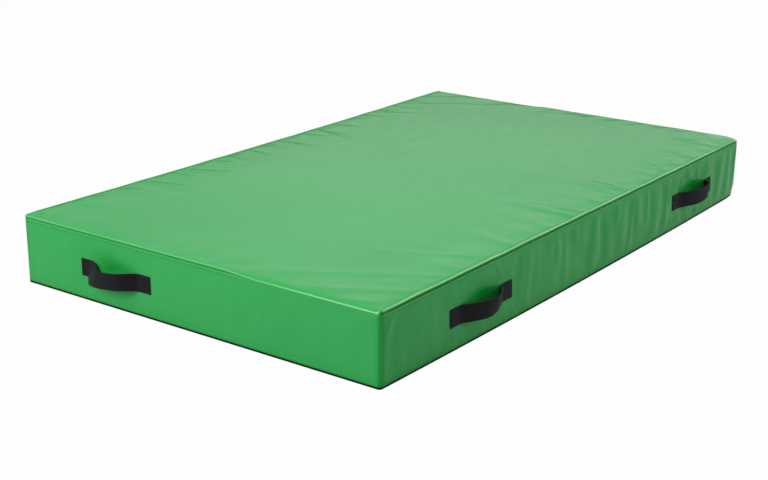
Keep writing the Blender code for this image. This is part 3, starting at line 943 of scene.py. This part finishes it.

# %% [markdown]
# ## Painted highlights and shade
#
# The crest of each seam, and more faintly its lip, are painted pale as highlights. The groove below the
# crest is painted deep green as shade, more than the lamps alone make it in so narrow a place. Each
# point of the cover gets two marks between 0 and 1, one for the painted highlight and one for the painted
# shade, and the finish reads them as attributes. Shade is painted in the groove, along the last line of
# stitching, by the upright corners, behind the loops as their shadow, and just above the base, with the
# sides darker towards the bottom. The top has a band of it behind the roll.

# %% Marks for the painted highlight and the painted shade
# Painted highlight: a pale line along the crest of each seam, and a fainter one along its lip.
uneven = 0.85 + 0.15 * waves(perimeter, 0.33, 9)
crest = across_seam(0.0010, np.where(down > 0.0010, 0.0016, 0.0022))
crest_on_long = 1 - 0.5 * smooth(1.70, 1.95, from_left_corner)
crest_on_short = 0.25 + 0.38 * smooth(0.80, 1.0, from_left_corner)
crest = crest * by_side(crest_on_long, crest_on_short) * smooth(0.003, 0.012, from_corner)
painted_lip_highlight = by_side(0.17, 0.08 * rolled) * across_seam(line_place - 0.0042, 0.0013)

# Painted shade: deep green in the groove, along the last line of stitching, by the upright corners, as the
# loops' shadow behind them, just above the base, darker towards the bottom of the sides, and in a band on the
# top behind the roll.
groove_start = by_side(0.0024, 0.0044)
groove_end = by_side(0.0124, 0.0086)
soft = by_side(0.0015, 0.0009)
in_groove = smooth(groove_start, groove_start + soft, down) * smooth(groove_end, groove_end - soft, down)
painted_shade_mask = rolled * (in_groove + 0.45 * across_seam(line_place, 0.0018))
painted_shade_mask = painted_shade_mask + 0.5 * bell(from_corner, by_side(0.008, 0.003), 0.011) * smooth(0.002, 0.012, down)
painted_shade_mask = painted_shade_mask + 0.5 * bell(height, BASE_TOP + 0.004, 0.0035) + 0.95 * behind_loops(tight)
painted_shade_mask = painted_shade_mask + by_side(0.30, 0.08) * bell(height, BASE_TOP, 0.024)
painted_shade_mask = np.where(on_top, by_side(0.85, 0.25) * across_seam(-0.0058, 0.0032), painted_shade_mask)
for label, values in (("painted_highlight", (crest + painted_lip_highlight) * uneven), ("painted_shade", painted_shade_mask)):
    marks = cover.data.attributes.new(label, "FLOAT", "POINT")
    marks.data.foreach_set("value", np.clip(values, 0, 1).astype(np.float32))
    print(label, "on", int((values > 0.5).sum()), "points")

# %% [markdown]
# ## The cover's finish
#
# Mat covers are woven polyester coated with PVC on both sides. The coat is smooth with a very fine pebble,
# and it has a satin gloss that stays much the same from piece to piece. The colour hardly changes over a
# panel. What makes it look real is a slightly uneven gloss, where hands and shoes have worn it, over the
# shape of the folds. The grain is a hundredth of a millimetre deep, so it only softens the highlights. The
# two marks lay a painted highlight in a paler green and painted shade in a deeper green over the colour.

# %% PVC cloth
vinyl, tree = new_finish("cover_vinyl", IOR=1.5, Specular_Ior_Level=0.165)
tone = drifting(tree, 0.45, (0.031, 0.345, 0.082, 1), (0.038, 0.372, 0.092, 1))["Color"]
rub = place_group(tree, mottle, vector=object_points(tree), patch_size=0.035)
feed(tree, "Roughness", ranged(tree, rub["Mask"], 0.22, 0.28))
# The two marks paint a highlight in a paler green and shade in a deeper green over the colour.
for label, colour in (("painted_highlight", (0.42, 0.91, 0.45, 1)), ("painted_shade", (0.000, 0.26, 0.021, 1))):
    mark = add_node(tree, "ShaderNodeAttribute", attribute_name=label).outputs["Fac"]
    tone = colour_between(tree, mark, tone, colour)
feed(tree, "Base Color", tone)
add_relief(tree, place_group(tree, grain, vector=object_points(tree), pebble_size=0.0012)["Height"], 0.00001)
print(vinyl.name, "has", len(tree.nodes), "nodes")

# %% [markdown]
# ## Cutting the panels
#
# Each face is given to a panel by where it lies: above the groove it belongs to the top, and below it to the
# nearest side. The faces of the zip's slot are deleted. Separating by material number then cuts the cover
# along its seams. Solidify gives each panel its millimetre of cloth, inwards, so that the outside stays
# where it is.

# %% Which panel a face belongs to
PANELS = ("top", "front", "right", "rear", "left")
corners_of = np.empty(len(cover.data.polygons) * 4, int)
cover.data.loops.foreach_get("vertex_index", corners_of)
corners_of = corners_of.reshape(-1, 4)
face_down = down[corners_of].mean(axis=1)
face_x = flat_x[corners_of].mean(axis=1)
face_y = flat_y[corners_of].mean(axis=1)
face_on_long = HALF_WIDTH - np.abs(face_x) < HALF_LENGTH - np.abs(face_y)
face_side = np.where(face_on_long, np.where(face_x > 0, 1, 3), np.where(face_y < 0, 0, 2))
face_panel = np.where(face_down < TOP_RIM, 0, face_side + 1)
in_slot = (face_panel == PANELS.index("rear")) & (np.abs(face_x) < SLOT_HALF_LENGTH)
in_slot = in_slot & (np.abs(EDGE_HEIGHT - face_down - ZIP_HEIGHT) < SLOT_HALF_HEIGHT)
print(int(in_slot.sum()), "faces in the zip's slot")


# %% Cut and thicken the panels
def finish_piece(piece, finish, body="mat", nodes=()):
    """Gives a piece its finish and slot, lets it ride on a body, and hides the solids that it stands for."""
    piece.data.materials.clear()
    piece.data.materials.append(finish)
    if body:
        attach(piece, body)
    if nodes:
        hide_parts(*nodes)
    piece.select_set(False)
    return piece


for panel in PANELS:
    cover.data.materials.append(bpy.data.materials.new(panel))
cover.data.polygons.foreach_set("material_index", face_panel.astype(np.int32))
with editing(cover):
    bpy.ops.mesh.select_all(action="DESELECT")
cover.data.polygons.foreach_set("select", in_slot)
bpy.ops.object.mode_set(mode="EDIT")
bpy.ops.mesh.select_mode(type="FACE")
bpy.ops.mesh.delete(type="FACE")
bpy.ops.mesh.select_all(action="SELECT")
bpy.ops.mesh.separate(type="MATERIAL")
bpy.ops.object.mode_set(mode="OBJECT")

SEAM_ALLOWANCE = 0.012
side_cut = EDGE_HEIGHT - TOP_RIM - BASE_TOP + 2 * SEAM_ALLOWANCE
long_cut = 2 * (HALF_LENGTH + SEAM_ALLOWANCE)
short_cut = 2 * (HALF_WIDTH + SEAM_ALLOWANCE)
flat_cuts = {
    "top": (short_cut + 2 * TOP_RIM, long_cut + 2 * TOP_RIM),
    "front": (short_cut, side_cut),
    "right": (long_cut, side_cut),
    "rear": (short_cut, side_cut),
    "left": (long_cut, side_cut),
}
for piece in list(bpy.context.selected_objects):
    panel = piece.data.materials[0].name
    named(piece, panel + "_panel")
    shade_smooth(piece)
    apply_modifier(piece, "SOLIDIFY", thickness=COVER_THICKNESS, offset=-1)
    finish_piece(piece, vinyl, nodes=["cover_" + panel])
    cut = tuple(round(side, 3) for side in flat_cuts[panel])
    print(piece.name, len(piece.data.polygons), "faces, cut", cut)

# %% [markdown]
# ## The non-slip base
#
# The underside is a separate black cloth with a rubbery, nubbed face, which keeps the mat from sliding. Its
# edge turns up over the sides for a few millimetres and shows as the thin black line under the mat. It is
# made as the cover was, from a grid with an extruded rim, turned upside down.

# %% Non-slip base
BASE_ROUND = 0.0012
BASE_SPACING = (0.0012, 0.004, 1.5, 0.05)
BASE_LEVELS = 6
base_levels = np.linspace(0, 1, BASE_LEVELS + 1) * BASE_TOP
base_columns = rows_between_seams(HALF_WIDTH, *BASE_SPACING)
base_rows = rows_between_seams(HALF_LENGTH, *BASE_SPACING)
base, base_x, base_y, base_level = pulled_grid(base_columns, base_rows, len(base_levels))
base_inward = np.minimum(HALF_WIDTH - np.abs(base_x), HALF_LENGTH - np.abs(base_y))
base_down = np.where(base_level == 0, -base_inward, base_levels[base_level])
x, y, depth, base_normals = over_the_edge(base_x, base_y, base_down, BASE_ROUND)
base_points = shaped(np.stack([x, y, depth], axis=1))
turned_in = -0.0010 * bell(base_down, BASE_TOP, 0.0010)
base_points[:, :2] += base_normals[:, :2] * turned_in[:, None]
move_points(base.data, drawn_in(base_points))
with editing(named(base, "base_panel")):
    bpy.ops.mesh.flip_normals()
shade_smooth(base)
apply_modifier(base, "SOLIDIFY", thickness=COVER_THICKNESS, offset=-1)

rubber, tree = new_finish("non_slip_rubber", Roughness=0.8, Specular_Ior_Level=0.08)
colour_by_patches(tree, 0.05, (0.004, 0.004, 0.005, 1), (0.009, 0.009, 0.009, 1))
nub_pattern = {"Vector": object_points(tree), "Scale": 280.0, "Randomness": 0.15}
nubs = add_node(tree, "ShaderNodeTexVoronoi", nub_pattern).outputs["Distance"]
add_relief(tree, ranged(tree, nubs, 1.0, 0.0, 0.2, 0.55), 0.0004)
finish_piece(base, rubber, nodes=["non_slip_base"])
print("base:", len(base.data.polygons), "faces")

# %% [markdown]
# ## Webbing handles
#
# Each handle is one length of polyester webbing, sold as 50 mm wide and a little under it. Its two ends lie
# flat and are sewn down with a box and a cross, and the middle stands out as a loop to put a hand through.
# The strap is a grid, laid between an upper and a lower edge: flat, then out, round and back. The edges
# don't run side by side, because stiff webbing twists as it slouches. Its UV map is kept in metres, so that
# the weave follows the strap round the bend.

# %% Webbing finish
webbing, tree = new_finish("webbing", Roughness=0.6, Specular_Ior_Level=0.12, Sheen_Weight=0.02)
strap_map = add_node(tree, "ShaderNodeUVMap", uv_map="UVMap").outputs["UV"]
thread = add_weave(tree, strap_map, 0.0022, 0.0028, depth=0.00025)
# Painted shade: the webbing is darker where its threads dip and lighter on the upper threads.
feed(tree, "Base Color", colour_between(tree, thread, (0.003, 0.003, 0.004, 1), (0.008, 0.008, 0.010, 1)))
print(webbing.name, "has", len(tree.nodes), "nodes")

# %% Edges of a strap
STEPS_BETWEEN = 8
FLAT_STEPS = 8
STEPS_ACROSS = 12


def smooth_line(controls, steps):
    """A soft line through control points, with some steps between each two of them."""
    before, after = 2 * controls[0] - controls[1], 2 * controls[-1] - controls[-2]
    knots = np.concatenate([[before], controls, [after]])
    line = []
    for first, start, end, last in zip(knots[:-3], knots[1:-2], knots[2:-1], knots[3:]):
        for share in np.arange(steps) / steps:
            rise, turn = end - first, 2 * first - 5 * start + 4 * end - last
            swing = 3 * start - first - 3 * end + last
            line.append(start + 0.5 * (rise * share + turn * share**2 + swing * share**3))
    return np.array(line + [controls[-1]])


def strap_edges(handle):
    """The upper and the lower edge of a strap in its face frame: a flat end, the loop and a flat end."""
    end = handle["span"] / 2 + SEWN_END
    edges = []
    for side, height in ((0, UPPER), (1, LOWER)):
        line = smooth_line(np.array(handle["loop"])[:, side] / 1000, STEPS_BETWEEN)
        start = np.linspace((-end, 0, height), line[0], FLAT_STEPS + 1)[:-1]
        finish = np.linspace(line[-1], (end, 0, height), FLAT_STEPS + 1)[1:]
        edge = np.concatenate([start, line, finish])
        edge[:, 1] = -edge[:, 1] - CLEARANCE - WEBBING_THICKNESS / 2
        edges.append(edge)
    return edges


def make_strap(name):
    handle = HANDLES[name]
    upper, lower = strap_edges(handle)
    steps = np.linalg.norm(np.diff((upper + lower) / 2, axis=0), axis=1)
    length = np.concatenate([[0], np.cumsum(steps)])
    bpy.ops.mesh.primitive_grid_add(x_subdivisions=len(upper) - 1, y_subdivisions=STEPS_ACROSS, size=2)
    strap = named(bpy.context.object, name + "_strap")
    corners = points_of(strap.data)
    station = grid_index(corners[:, 0], len(upper))
    share = (corners[:, 1:2] + 1) / 2
    local = lower[station] + (upper[station] - lower[station]) * share
    matrix = handle_frame(name)
    move_points(strap.data, put_in_frame(local, matrix))
    used_by = np.empty(len(strap.data.loops), int)
    strap.data.loops.foreach_get("vertex_index", used_by)
    flat = np.stack([length[station], corners[:, 1] * UPPER], axis=1)[used_by]
    strap.data.uv_layers.active.data.foreach_set("uv", flat.ravel())
    shade_smooth(strap)
    apply_modifier(strap, "SOLIDIFY", thickness=WEBBING_THICKNESS, offset=0, use_even_offset=True)
    bevel(strap, 0.0006, 2, angle=60)
    finish_piece(strap, webbing, body=None)
    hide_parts(name + "_left_end", name + "_right_end", name + "_loop")
    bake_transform(strap)
    print(strap.name, "is cut", round(float(length[-1]), 3), "m long")


for name in HANDLES:
    make_strap(name)

# %% [markdown]
# ## Stitches
#
# A stitch is a short thread that dips into the cloth at both ends. One is modelled as a small bent capsule,
# and copied along each line of sewing. The copies are joined into one piece per handle with numpy, which is
# much quicker than thousands of objects.


# %% A form and its copies
def form_of(piece, points):
    """The points and faces of a form that will be copied. The piece it was modelled on is removed."""
    faces = [list(face.vertices) for face in piece.data.polygons]
    bpy.data.objects.remove(piece)
    return points, faces


def copies_of(form, frames, name, angle=180):
    """One piece that holds a copy of the form in each frame."""
    points, faces = form
    spots = np.concatenate([put_in_frame(points, matrix) for matrix in frames])
    starts = range(0, len(spots), len(points))
    every = [[start + corner for corner in face] for start in starts for face in faces]
    mesh = bpy.data.meshes.new(name)
    mesh.from_pydata(spots.tolist(), [], every)
    mesh.update()
    piece = bpy.data.objects.new(name, mesh)
    bpy.context.scene.collection.objects.link(piece)
    shade_smooth(piece, angle)
    return piece


def make_stitch(length, thickness):
    """One stitch along X, with its ends bent down."""
    bpy.ops.mesh.primitive_uv_sphere_add(segments=6, ring_count=5, radius=0.5, rotation=(0, math.pi / 2, 0))
    stitch = bpy.context.object
    bpy.ops.object.transform_apply(location=True, rotation=True, scale=True)
    points = points_of(stitch.data) * (length, thickness, thickness)
    points[:, 2] -= 2 * thickness * (points[:, 0] / length) ** 2
    return form_of(stitch, points)


def frames_along(points, up, pitch):
    """Frames every pitch along a line of points, with X along the line and Z along up."""
    frames = []
    for start, end in zip(points[:-1], points[1:]):
        run = end - start
        count = max(round(run.length / pitch), 1)
        along = run.normalized()
        across = up.cross(along).normalized()
        frames += [frame_at(start + run * (step + 0.5) / count, along, across, up) for step in range(count)]
    return frames


# %% Sewing on the handles
STITCH_PITCH = 0.0038
STITCH_INSET = 0.005
STITCH_LENGTH = 0.0033
THREAD_THICKNESS = 0.0006
THREAD_GAP = 0.0001
thread_stitch = make_stitch(STITCH_LENGTH, THREAD_THICKNESS)
black_thread, tree = new_finish("black_thread", Roughness=0.6, Specular_Ior_Level=0.12, Sheen_Weight=0.05)
colour_by_patches(tree, 0.004, (0.004, 0.004, 0.005, 1), (0.012, 0.012, 0.014, 1))
add_relief(tree, place_group(tree, grain, vector=object_points(tree), pebble_size=0.0005)["Height"], 0.0001)

for name, handle in HANDLES.items():
    matrix = handle_frame(name)
    outward = -(matrix.col[1].to_3d())
    surface = -CLEARANCE - WEBBING_THICKNESS - THREAD_GAP
    low = LOWER + STITCH_INSET
    high = UPPER - STITCH_INSET
    frames = []
    for side, sewn in ((-1, handle["first_sewn"]), (1, SEWN_END)):
        far = side * (handle["span"] / 2 + SEWN_END - STITCH_INSET)
        near = far - side * (sewn - 2 * STITCH_INSET)
        box_line = [(near, low), (far, low), (far, high), (near, high), (near, low), (far, high)]
        for line in (box_line, [(near, high), (far, low)]):
            frames += frames_along([matrix @ Vector((a, surface, b)) for a, b in line], outward, STITCH_PITCH)
    stitches = copies_of(thread_stitch, frames, name + "_stitches")
    finish_piece(stitches, black_thread)
    print(stitches.name, "has", len(frames), "stitches")

# %% [markdown]
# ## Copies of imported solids
#
# The zip's metal and the parts inside the cover are already the right form. They only want softer edges. A
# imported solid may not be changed, so a copy is taken. Its loose triangles are merged, flat triangles are
# dissolved into whole faces, and then a bevel can run round the real edges.


# %% Bevelled copies
def bevelled_copy(node, name, width, segments=2):
    piece = bpy.data.objects.new(name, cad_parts[node].data.copy())
    piece.data.name = name
    bpy.context.scene.collection.objects.link(piece)
    with editing(piece):
        bpy.ops.mesh.remove_doubles(threshold=0.00001)
        bpy.ops.mesh.dissolve_limited(angle_limit=math.radians(0.5))
    bevel(piece, width, segments, angle=50)
    shade_smooth(piece, 35)
    return piece


# %% [markdown]
# ## The zip
#
# The foam goes in through a long zip, low on the short side that faces away. Its tapes are woven polyester,
# and the teeth are moulded nylon, three millimetres apart, with the two rows set half a step from each other
# so that they lock. One tooth is a bevelled block with a waist, and a row is a few hundred copies of it. The
# stops, the slider and its puller are plated steel.

# %% Finishes of the zip
zip_tape, tree = new_finish("zip_tape", Roughness=0.85, Sheen_Weight=0.2)
turned = add_node(tree, "ShaderNodeMapping", {"Vector": object_points(tree), "Rotation": (math.pi / 2, 0, 0)})
thread = add_weave(tree, turned.outputs[0], 0.0009, 0.0012, depth=0.0002)
# Painted shade: the tape is darker where its threads dip and lighter on the upper threads.
feed(tree, "Base Color", colour_between(tree, thread, (0.008, 0.008, 0.009, 1), (0.022, 0.022, 0.024, 1)))

nylon, tree = new_finish("zip_nylon", Specular_Ior_Level=0.5)
patches = colour_by_patches(tree, 0.02, (0.010, 0.010, 0.011, 1), (0.020, 0.020, 0.022, 1))
feed(tree, "Roughness", ranged(tree, patches, 0.35, 0.5))

steel, tree = new_finish("zip_steel", Metallic=1.0)
patches = colour_by_patches(tree, 0.006, (0.42, 0.42, 0.43, 1), (0.62, 0.62, 0.63, 1))
feed(tree, "Roughness", ranged(tree, patches, 0.24, 0.42))
stretched = add_node(tree, "ShaderNodeMapping", {"Vector": object_points(tree), "Scale": (1.0, 1.0, 12.0)})
add_relief(tree, place_group(tree, grain, vector=stretched.outputs[0], pebble_size=0.002)["Height"], 0.00004)
print("zip finishes:", [finish.name for finish in (zip_tape, nylon, steel)])

# %% Tapes, stops, slider and puller
for node in ("zip_upper_tape", "zip_lower_tape"):
    tape = bevelled_copy(node, node + "_cloth", 0.0002)
    finish_piece(tape, zip_tape, nodes=[node])
    low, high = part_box(node)
for node, ending, width, body in (
    ("zip_closed_end_stop", "_pressed", 0.0004, "mat"),
    ("zip_open_end_stop", "_pressed", 0.0004, "mat"),
    ("zip_slider", "_cast", 0.0004, "zip_slider"),
    ("zip_puller", "_pressed", 0.0003, "zip_puller"),
):
    metal = finish_piece(bevelled_copy(node, node + ending, width), steel, body, [node])
    print(metal.name, len(metal.data.polygons), "faces")

# %% Teeth
TOOTH_PITCH = 0.003
TOOTH_WIDTH = 0.0015
TOOTH_OVERLAP = 0.0006


def make_tooth(depth, height):
    """One tooth: a block with its edges rounded, and its inner end drawn out into a head."""
    bpy.ops.mesh.primitive_cube_add(size=1)
    tooth = bpy.context.object
    tooth.scale = (TOOTH_WIDTH, depth, height)
    bpy.ops.object.transform_apply(location=False, rotation=False, scale=True)
    apply_modifier(tooth, "BEVEL", width=0.0004, segments=1)
    points = points_of(tooth.data)
    head = smooth(0.1, 0.5, points[:, 2] / height)
    points[:, 0] *= 0.8 + 0.5 * head
    return form_of(tooth, points)


low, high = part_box("zip_upper_teeth")
tooth_height = high.z - low.z + TOOTH_OVERLAP
tooth = make_tooth(high.y - low.y, tooth_height)
tooth_count = int((high.x - low.x) / TOOTH_PITCH) - 1
for node, side, offset in (("zip_upper_teeth", 1, 0.75), ("zip_lower_teeth", -1, 1.25)):
    low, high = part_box(node)
    middle_y = (low.y + high.y) / 2
    middle_z = (high.z if side > 0 else low.z) - side * tooth_height / 2
    turn = Matrix.Rotation(math.pi if side > 0 else 0, 4, "Y")
    frames = []
    for step in range(tooth_count):
        spot = Vector((low.x + (step + offset) * TOOTH_PITCH, middle_y, middle_z))
        frames.append(Matrix.Translation(spot) @ turn)
    row = copies_of(tooth, frames, node + "_row", angle=35)
    finish_piece(row, nylon, nodes=[node])
print("teeth in a row:", tooth_count)

# %% [markdown]
# ## Inside the cover
#
# Nobody sees the foam while the cover is closed, but a crash mat is its foam: a thick soft core that takes
# the fall, and a thin firm sheet on top that spreads it. Both keep the imported form with softened edges, and
# are drawn in a little so that the folds of the cover stay clear of them. Open cells are a Voronoi pattern,
# pressed in as a bump, with painted shade in the pits. Behind each handle a patch of strong cloth takes the
# pull of the stitches.


# %% Foam
def foam_finish(name, cell, dark, light):
    finish, tree = new_finish(name, Roughness=0.95, Specular_Ior_Level=0.2)
    cells = place_group(tree, grain, vector=object_points(tree), pebble_size=cell)["Height"]
    tone = drifting(tree, 0.2, dark, light)["Color"]
    # Painted shade: the tone is darkened where the cells dip.
    pits = ranged(tree, cells, 0.65, 1.0, 0.3, 0.9)
    pitted = add_node(tree, "ShaderNodeVectorMath", {0: tone, "Scale": pits}, operation="SCALE")
    feed(tree, "Base Color", pitted.outputs[0])
    add_relief(tree, cells, cell / 3)
    return finish


def slackened(piece, room, top_room):
    """Draws a foam block in from the cover, by some room at its sides and more at its top."""
    points = points_of(piece.data)
    lowest = points[:, 2].min()
    height = np.ptp(points[:, 2])
    points[:, :2] *= (1 - room / HALF_WIDTH, 1 - room / HALF_LENGTH)
    points[:, 2] = lowest + (points[:, 2] - lowest) * (1 - top_room / height)
    move_points(piece.data, drawn_in(points))


soft_foam = foam_finish("soft_foam", 0.0025, (0.56, 0.54, 0.45, 1), (0.66, 0.64, 0.56, 1))
firm_foam = foam_finish("firm_foam", 0.0008, (0.18, 0.25, 0.38, 1), (0.22, 0.31, 0.46, 1))
foam = bevelled_copy("foam_core", "foam_block", 0.004, 3)
slackened(foam, room=0.004, top_room=0.001)
finish_piece(foam, soft_foam, nodes=["foam_core"])
sheet = bevelled_copy("foam_landing_sheet", "landing_sheet_foam", 0.002, 2)
slackened(sheet, room=0.006, top_room=0.006)
finish_piece(sheet, firm_foam, nodes=["foam_landing_sheet"])
print("foam:", foam.name, "and", sheet.name)

# %% Backing patches
PATCH_MARGIN = 0.010
PATCH_HEIGHT = 0.070
patch_cloth, tree = new_finish("patch_cloth", Roughness=0.9, Specular_Ior_Level=0.25)
add_weave(tree, object_points(tree), 0.0008, 0.0008, depth=0.0002)
colour_by_patches(tree, 0.03, (0.010, 0.010, 0.012, 1), (0.022, 0.022, 0.025, 1))
for name, handle in HANDLES.items():
    node = name + "_backing_patch"
    patch = bevelled_copy(node, node + "_cloth", 0.0002)
    finish_piece(patch, patch_cloth, nodes=[node])
    cut = (handle["span"] + 2 * (SEWN_END + PATCH_MARGIN), PATCH_HEIGHT)
    print(patch.name, "is cut", tuple(round(side, 3) for side in cut))

# %% [markdown]
# ## Studio
#
# The photograph was taken in an even white studio: the ground and the background are white, and the mat
# throws almost no shadow. The white is a strength that only the camera's rays and mirrored ones see, so it
# does not light the mat from below more than a pale floor would. From below, the ground is clear, so that
# the base can be seen. A big soft lamp hangs above and a key lamp stands at the front left. The long side
# gets less light than the short one, from a low strip at the far right that is kept out of the gloss.

# %% World and floor
WORLD_LIGHT = 0.37
FLOOR_SEEN = 0.98
FLOOR_MIRRORED = 0.35
FLOOR_GREY = (0.5, 0.5, 0.5, 1)


def ray_kinds(tree):
    """1 for rays from the camera, and 1 for mirrored or transmitted ones."""
    path = add_node(tree, "ShaderNodeLightPath").outputs
    mirrored = add_math(tree, "MAXIMUM", path["Is Glossy Ray"], path["Is Transmission Ray"])
    return path["Is Camera Ray"], mirrored


def shader_between(tree, share, first, second):
    return add_node(tree, "ShaderNodeMixShader", {0: share, 1: first, 2: second}).outputs[0]


def put_on_surface(tree, shader):
    fill(tree, tree.nodes["Material Output"].inputs["Surface"], shader)


world = bpy.data.worlds.new("studio")
bpy.context.scene.world = world
world.use_nodes = True
tree = world.node_tree
background = tree.nodes["Background"].inputs
background["Color"].default_value = (1, 1, 1, 1)
seen_directly = add_math(tree, "MAXIMUM", *ray_kinds(tree))
fill(tree, background["Strength"], ranged(tree, seen_directly, WORLD_LIGHT, 1.0))

bpy.ops.mesh.primitive_plane_add(size=60)
floor = named(bpy.context.object, "studio_floor")
ground, tree = new_finish("studio_ground", Base_Color=FLOOR_GREY, Roughness=0.9, Specular_Ior_Level=0.0)
white = add_node(tree, "ShaderNodeEmission", {"Color": (1, 1, 1, 1), "Strength": 1.0}).outputs[0]
seen, mirrored = ray_kinds(tree)
mirrored = add_math(tree, "MULTIPLY", mirrored, FLOOR_MIRRORED)
share = add_math(tree, "MAXIMUM", mirrored, add_math(tree, "MULTIPLY", seen, FLOOR_SEEN))
from_above = shader_between(tree, share, tree.nodes["Principled BSDF"].outputs[0], white)
from_below = add_node(tree, "ShaderNodeNewGeometry").outputs["Backfacing"]
clear = add_node(tree, "ShaderNodeBsdfTransparent").outputs[0]
put_on_surface(tree, shader_between(tree, from_below, from_above, clear))
floor.data.materials.append(ground)
floor.select_set(False)
print("the world gives", WORLD_LIGHT, "of white light")


# %% Lamps
def add_lamp(name, place, target, size, watts):
    lamp = bpy.data.objects.new(name, bpy.data.lights.new(name, "AREA"))
    lamp.data.size = size
    lamp.data.energy = watts
    lamp.location = place
    lamp.rotation_euler = (Vector(target) - Vector(place)).to_track_quat("-Z", "Y").to_euler()
    bpy.context.scene.collection.objects.link(lamp)
    print(name, watts, "W")
    return lamp


add_lamp("overhead_softbox", (0.3, -0.5, 3.3), (0, 0, 0), 3.0, 60)
add_lamp("key_softbox", (-1.4, -4.4, 2.2), (0, -0.8, 0.1), 1.8, 130)
side_strip = add_lamp("side_strip", (3.3, 5.2, 1.1), (0.6, 0.3, 0.1), 0.6, 100)
side_strip.visible_glossy = False

# %% [markdown]
# ## Cloths round the studio
#
# Gloss shows what stands round the mat. Seen low over the top, an all-white room would turn the far half of
# the mat pale. Dark cloths hang there, out of the camera's sight, as a photographer sets flags: four upright
# strips behind the mat, and a big one at the left that grows denser to one side and acts on the gloss alone.

# %% Flags
STRIP_DISTANCE = 5.2
STRIP_HEIGHT = 0.44
STRIP_SIZE = (1.15, 0.84)
STRIP_DIRECTIONS = (20, 32, 44, 56)
FLAG_PLACE = (-4.9, 2.4, 2.2)
FLAG_SIZE = (4.4, 3.0)
FLAG_DIRECTION = 62
FLAG_DENSITY = 0.75
DARK_CLOTH = (0.05, 0.05, 0.05, 1)


def hang_cloth(name, place, direction, size, finish):
    """An upright cloth that the camera doesn't see, turned by a direction in degrees."""
    bpy.ops.mesh.primitive_plane_add(size=1, location=place)
    cloth = named(bpy.context.object, name)
    cloth.rotation_euler = (math.pi / 2, 0, math.radians(direction))
    cloth.scale = (*size, 1.0)
    cloth.visible_camera = False
    cloth.data.materials.append(finish)
    cloth.select_set(False)
    return cloth


strip_cloth = new_finish("backdrop_cloth", Base_Color=DARK_CLOTH, Roughness=1.0)[0]
for direction in STRIP_DIRECTIONS:
    angle = math.radians(direction)
    place = (-STRIP_DISTANCE * math.sin(angle), STRIP_DISTANCE * math.cos(angle), STRIP_HEIGHT)
    hang_cloth(f"backdrop_strip_{direction}", place, direction, STRIP_SIZE, strip_cloth)

flag_cloth, tree = new_finish("flag_cloth", Base_Color=DARK_CLOTH)
across = add_node(tree, "ShaderNodeSeparateXYZ", {0: object_points(tree)}).outputs["X"]
denser = ranged(tree, across, 0.0, FLAG_DENSITY, 0.5, -0.3)
clear = add_node(tree, "ShaderNodeBsdfTransparent").outputs[0]
put_on_surface(tree, shader_between(tree, denser, clear, tree.nodes["Principled BSDF"].outputs[0]))
flag = hang_cloth("soft_flag", FLAG_PLACE, FLAG_DIRECTION, FLAG_SIZE, flag_cloth)
flag.visible_diffuse = False
flag.visible_shadow = False
print(len(STRIP_DIRECTIONS), "strips and one flag")
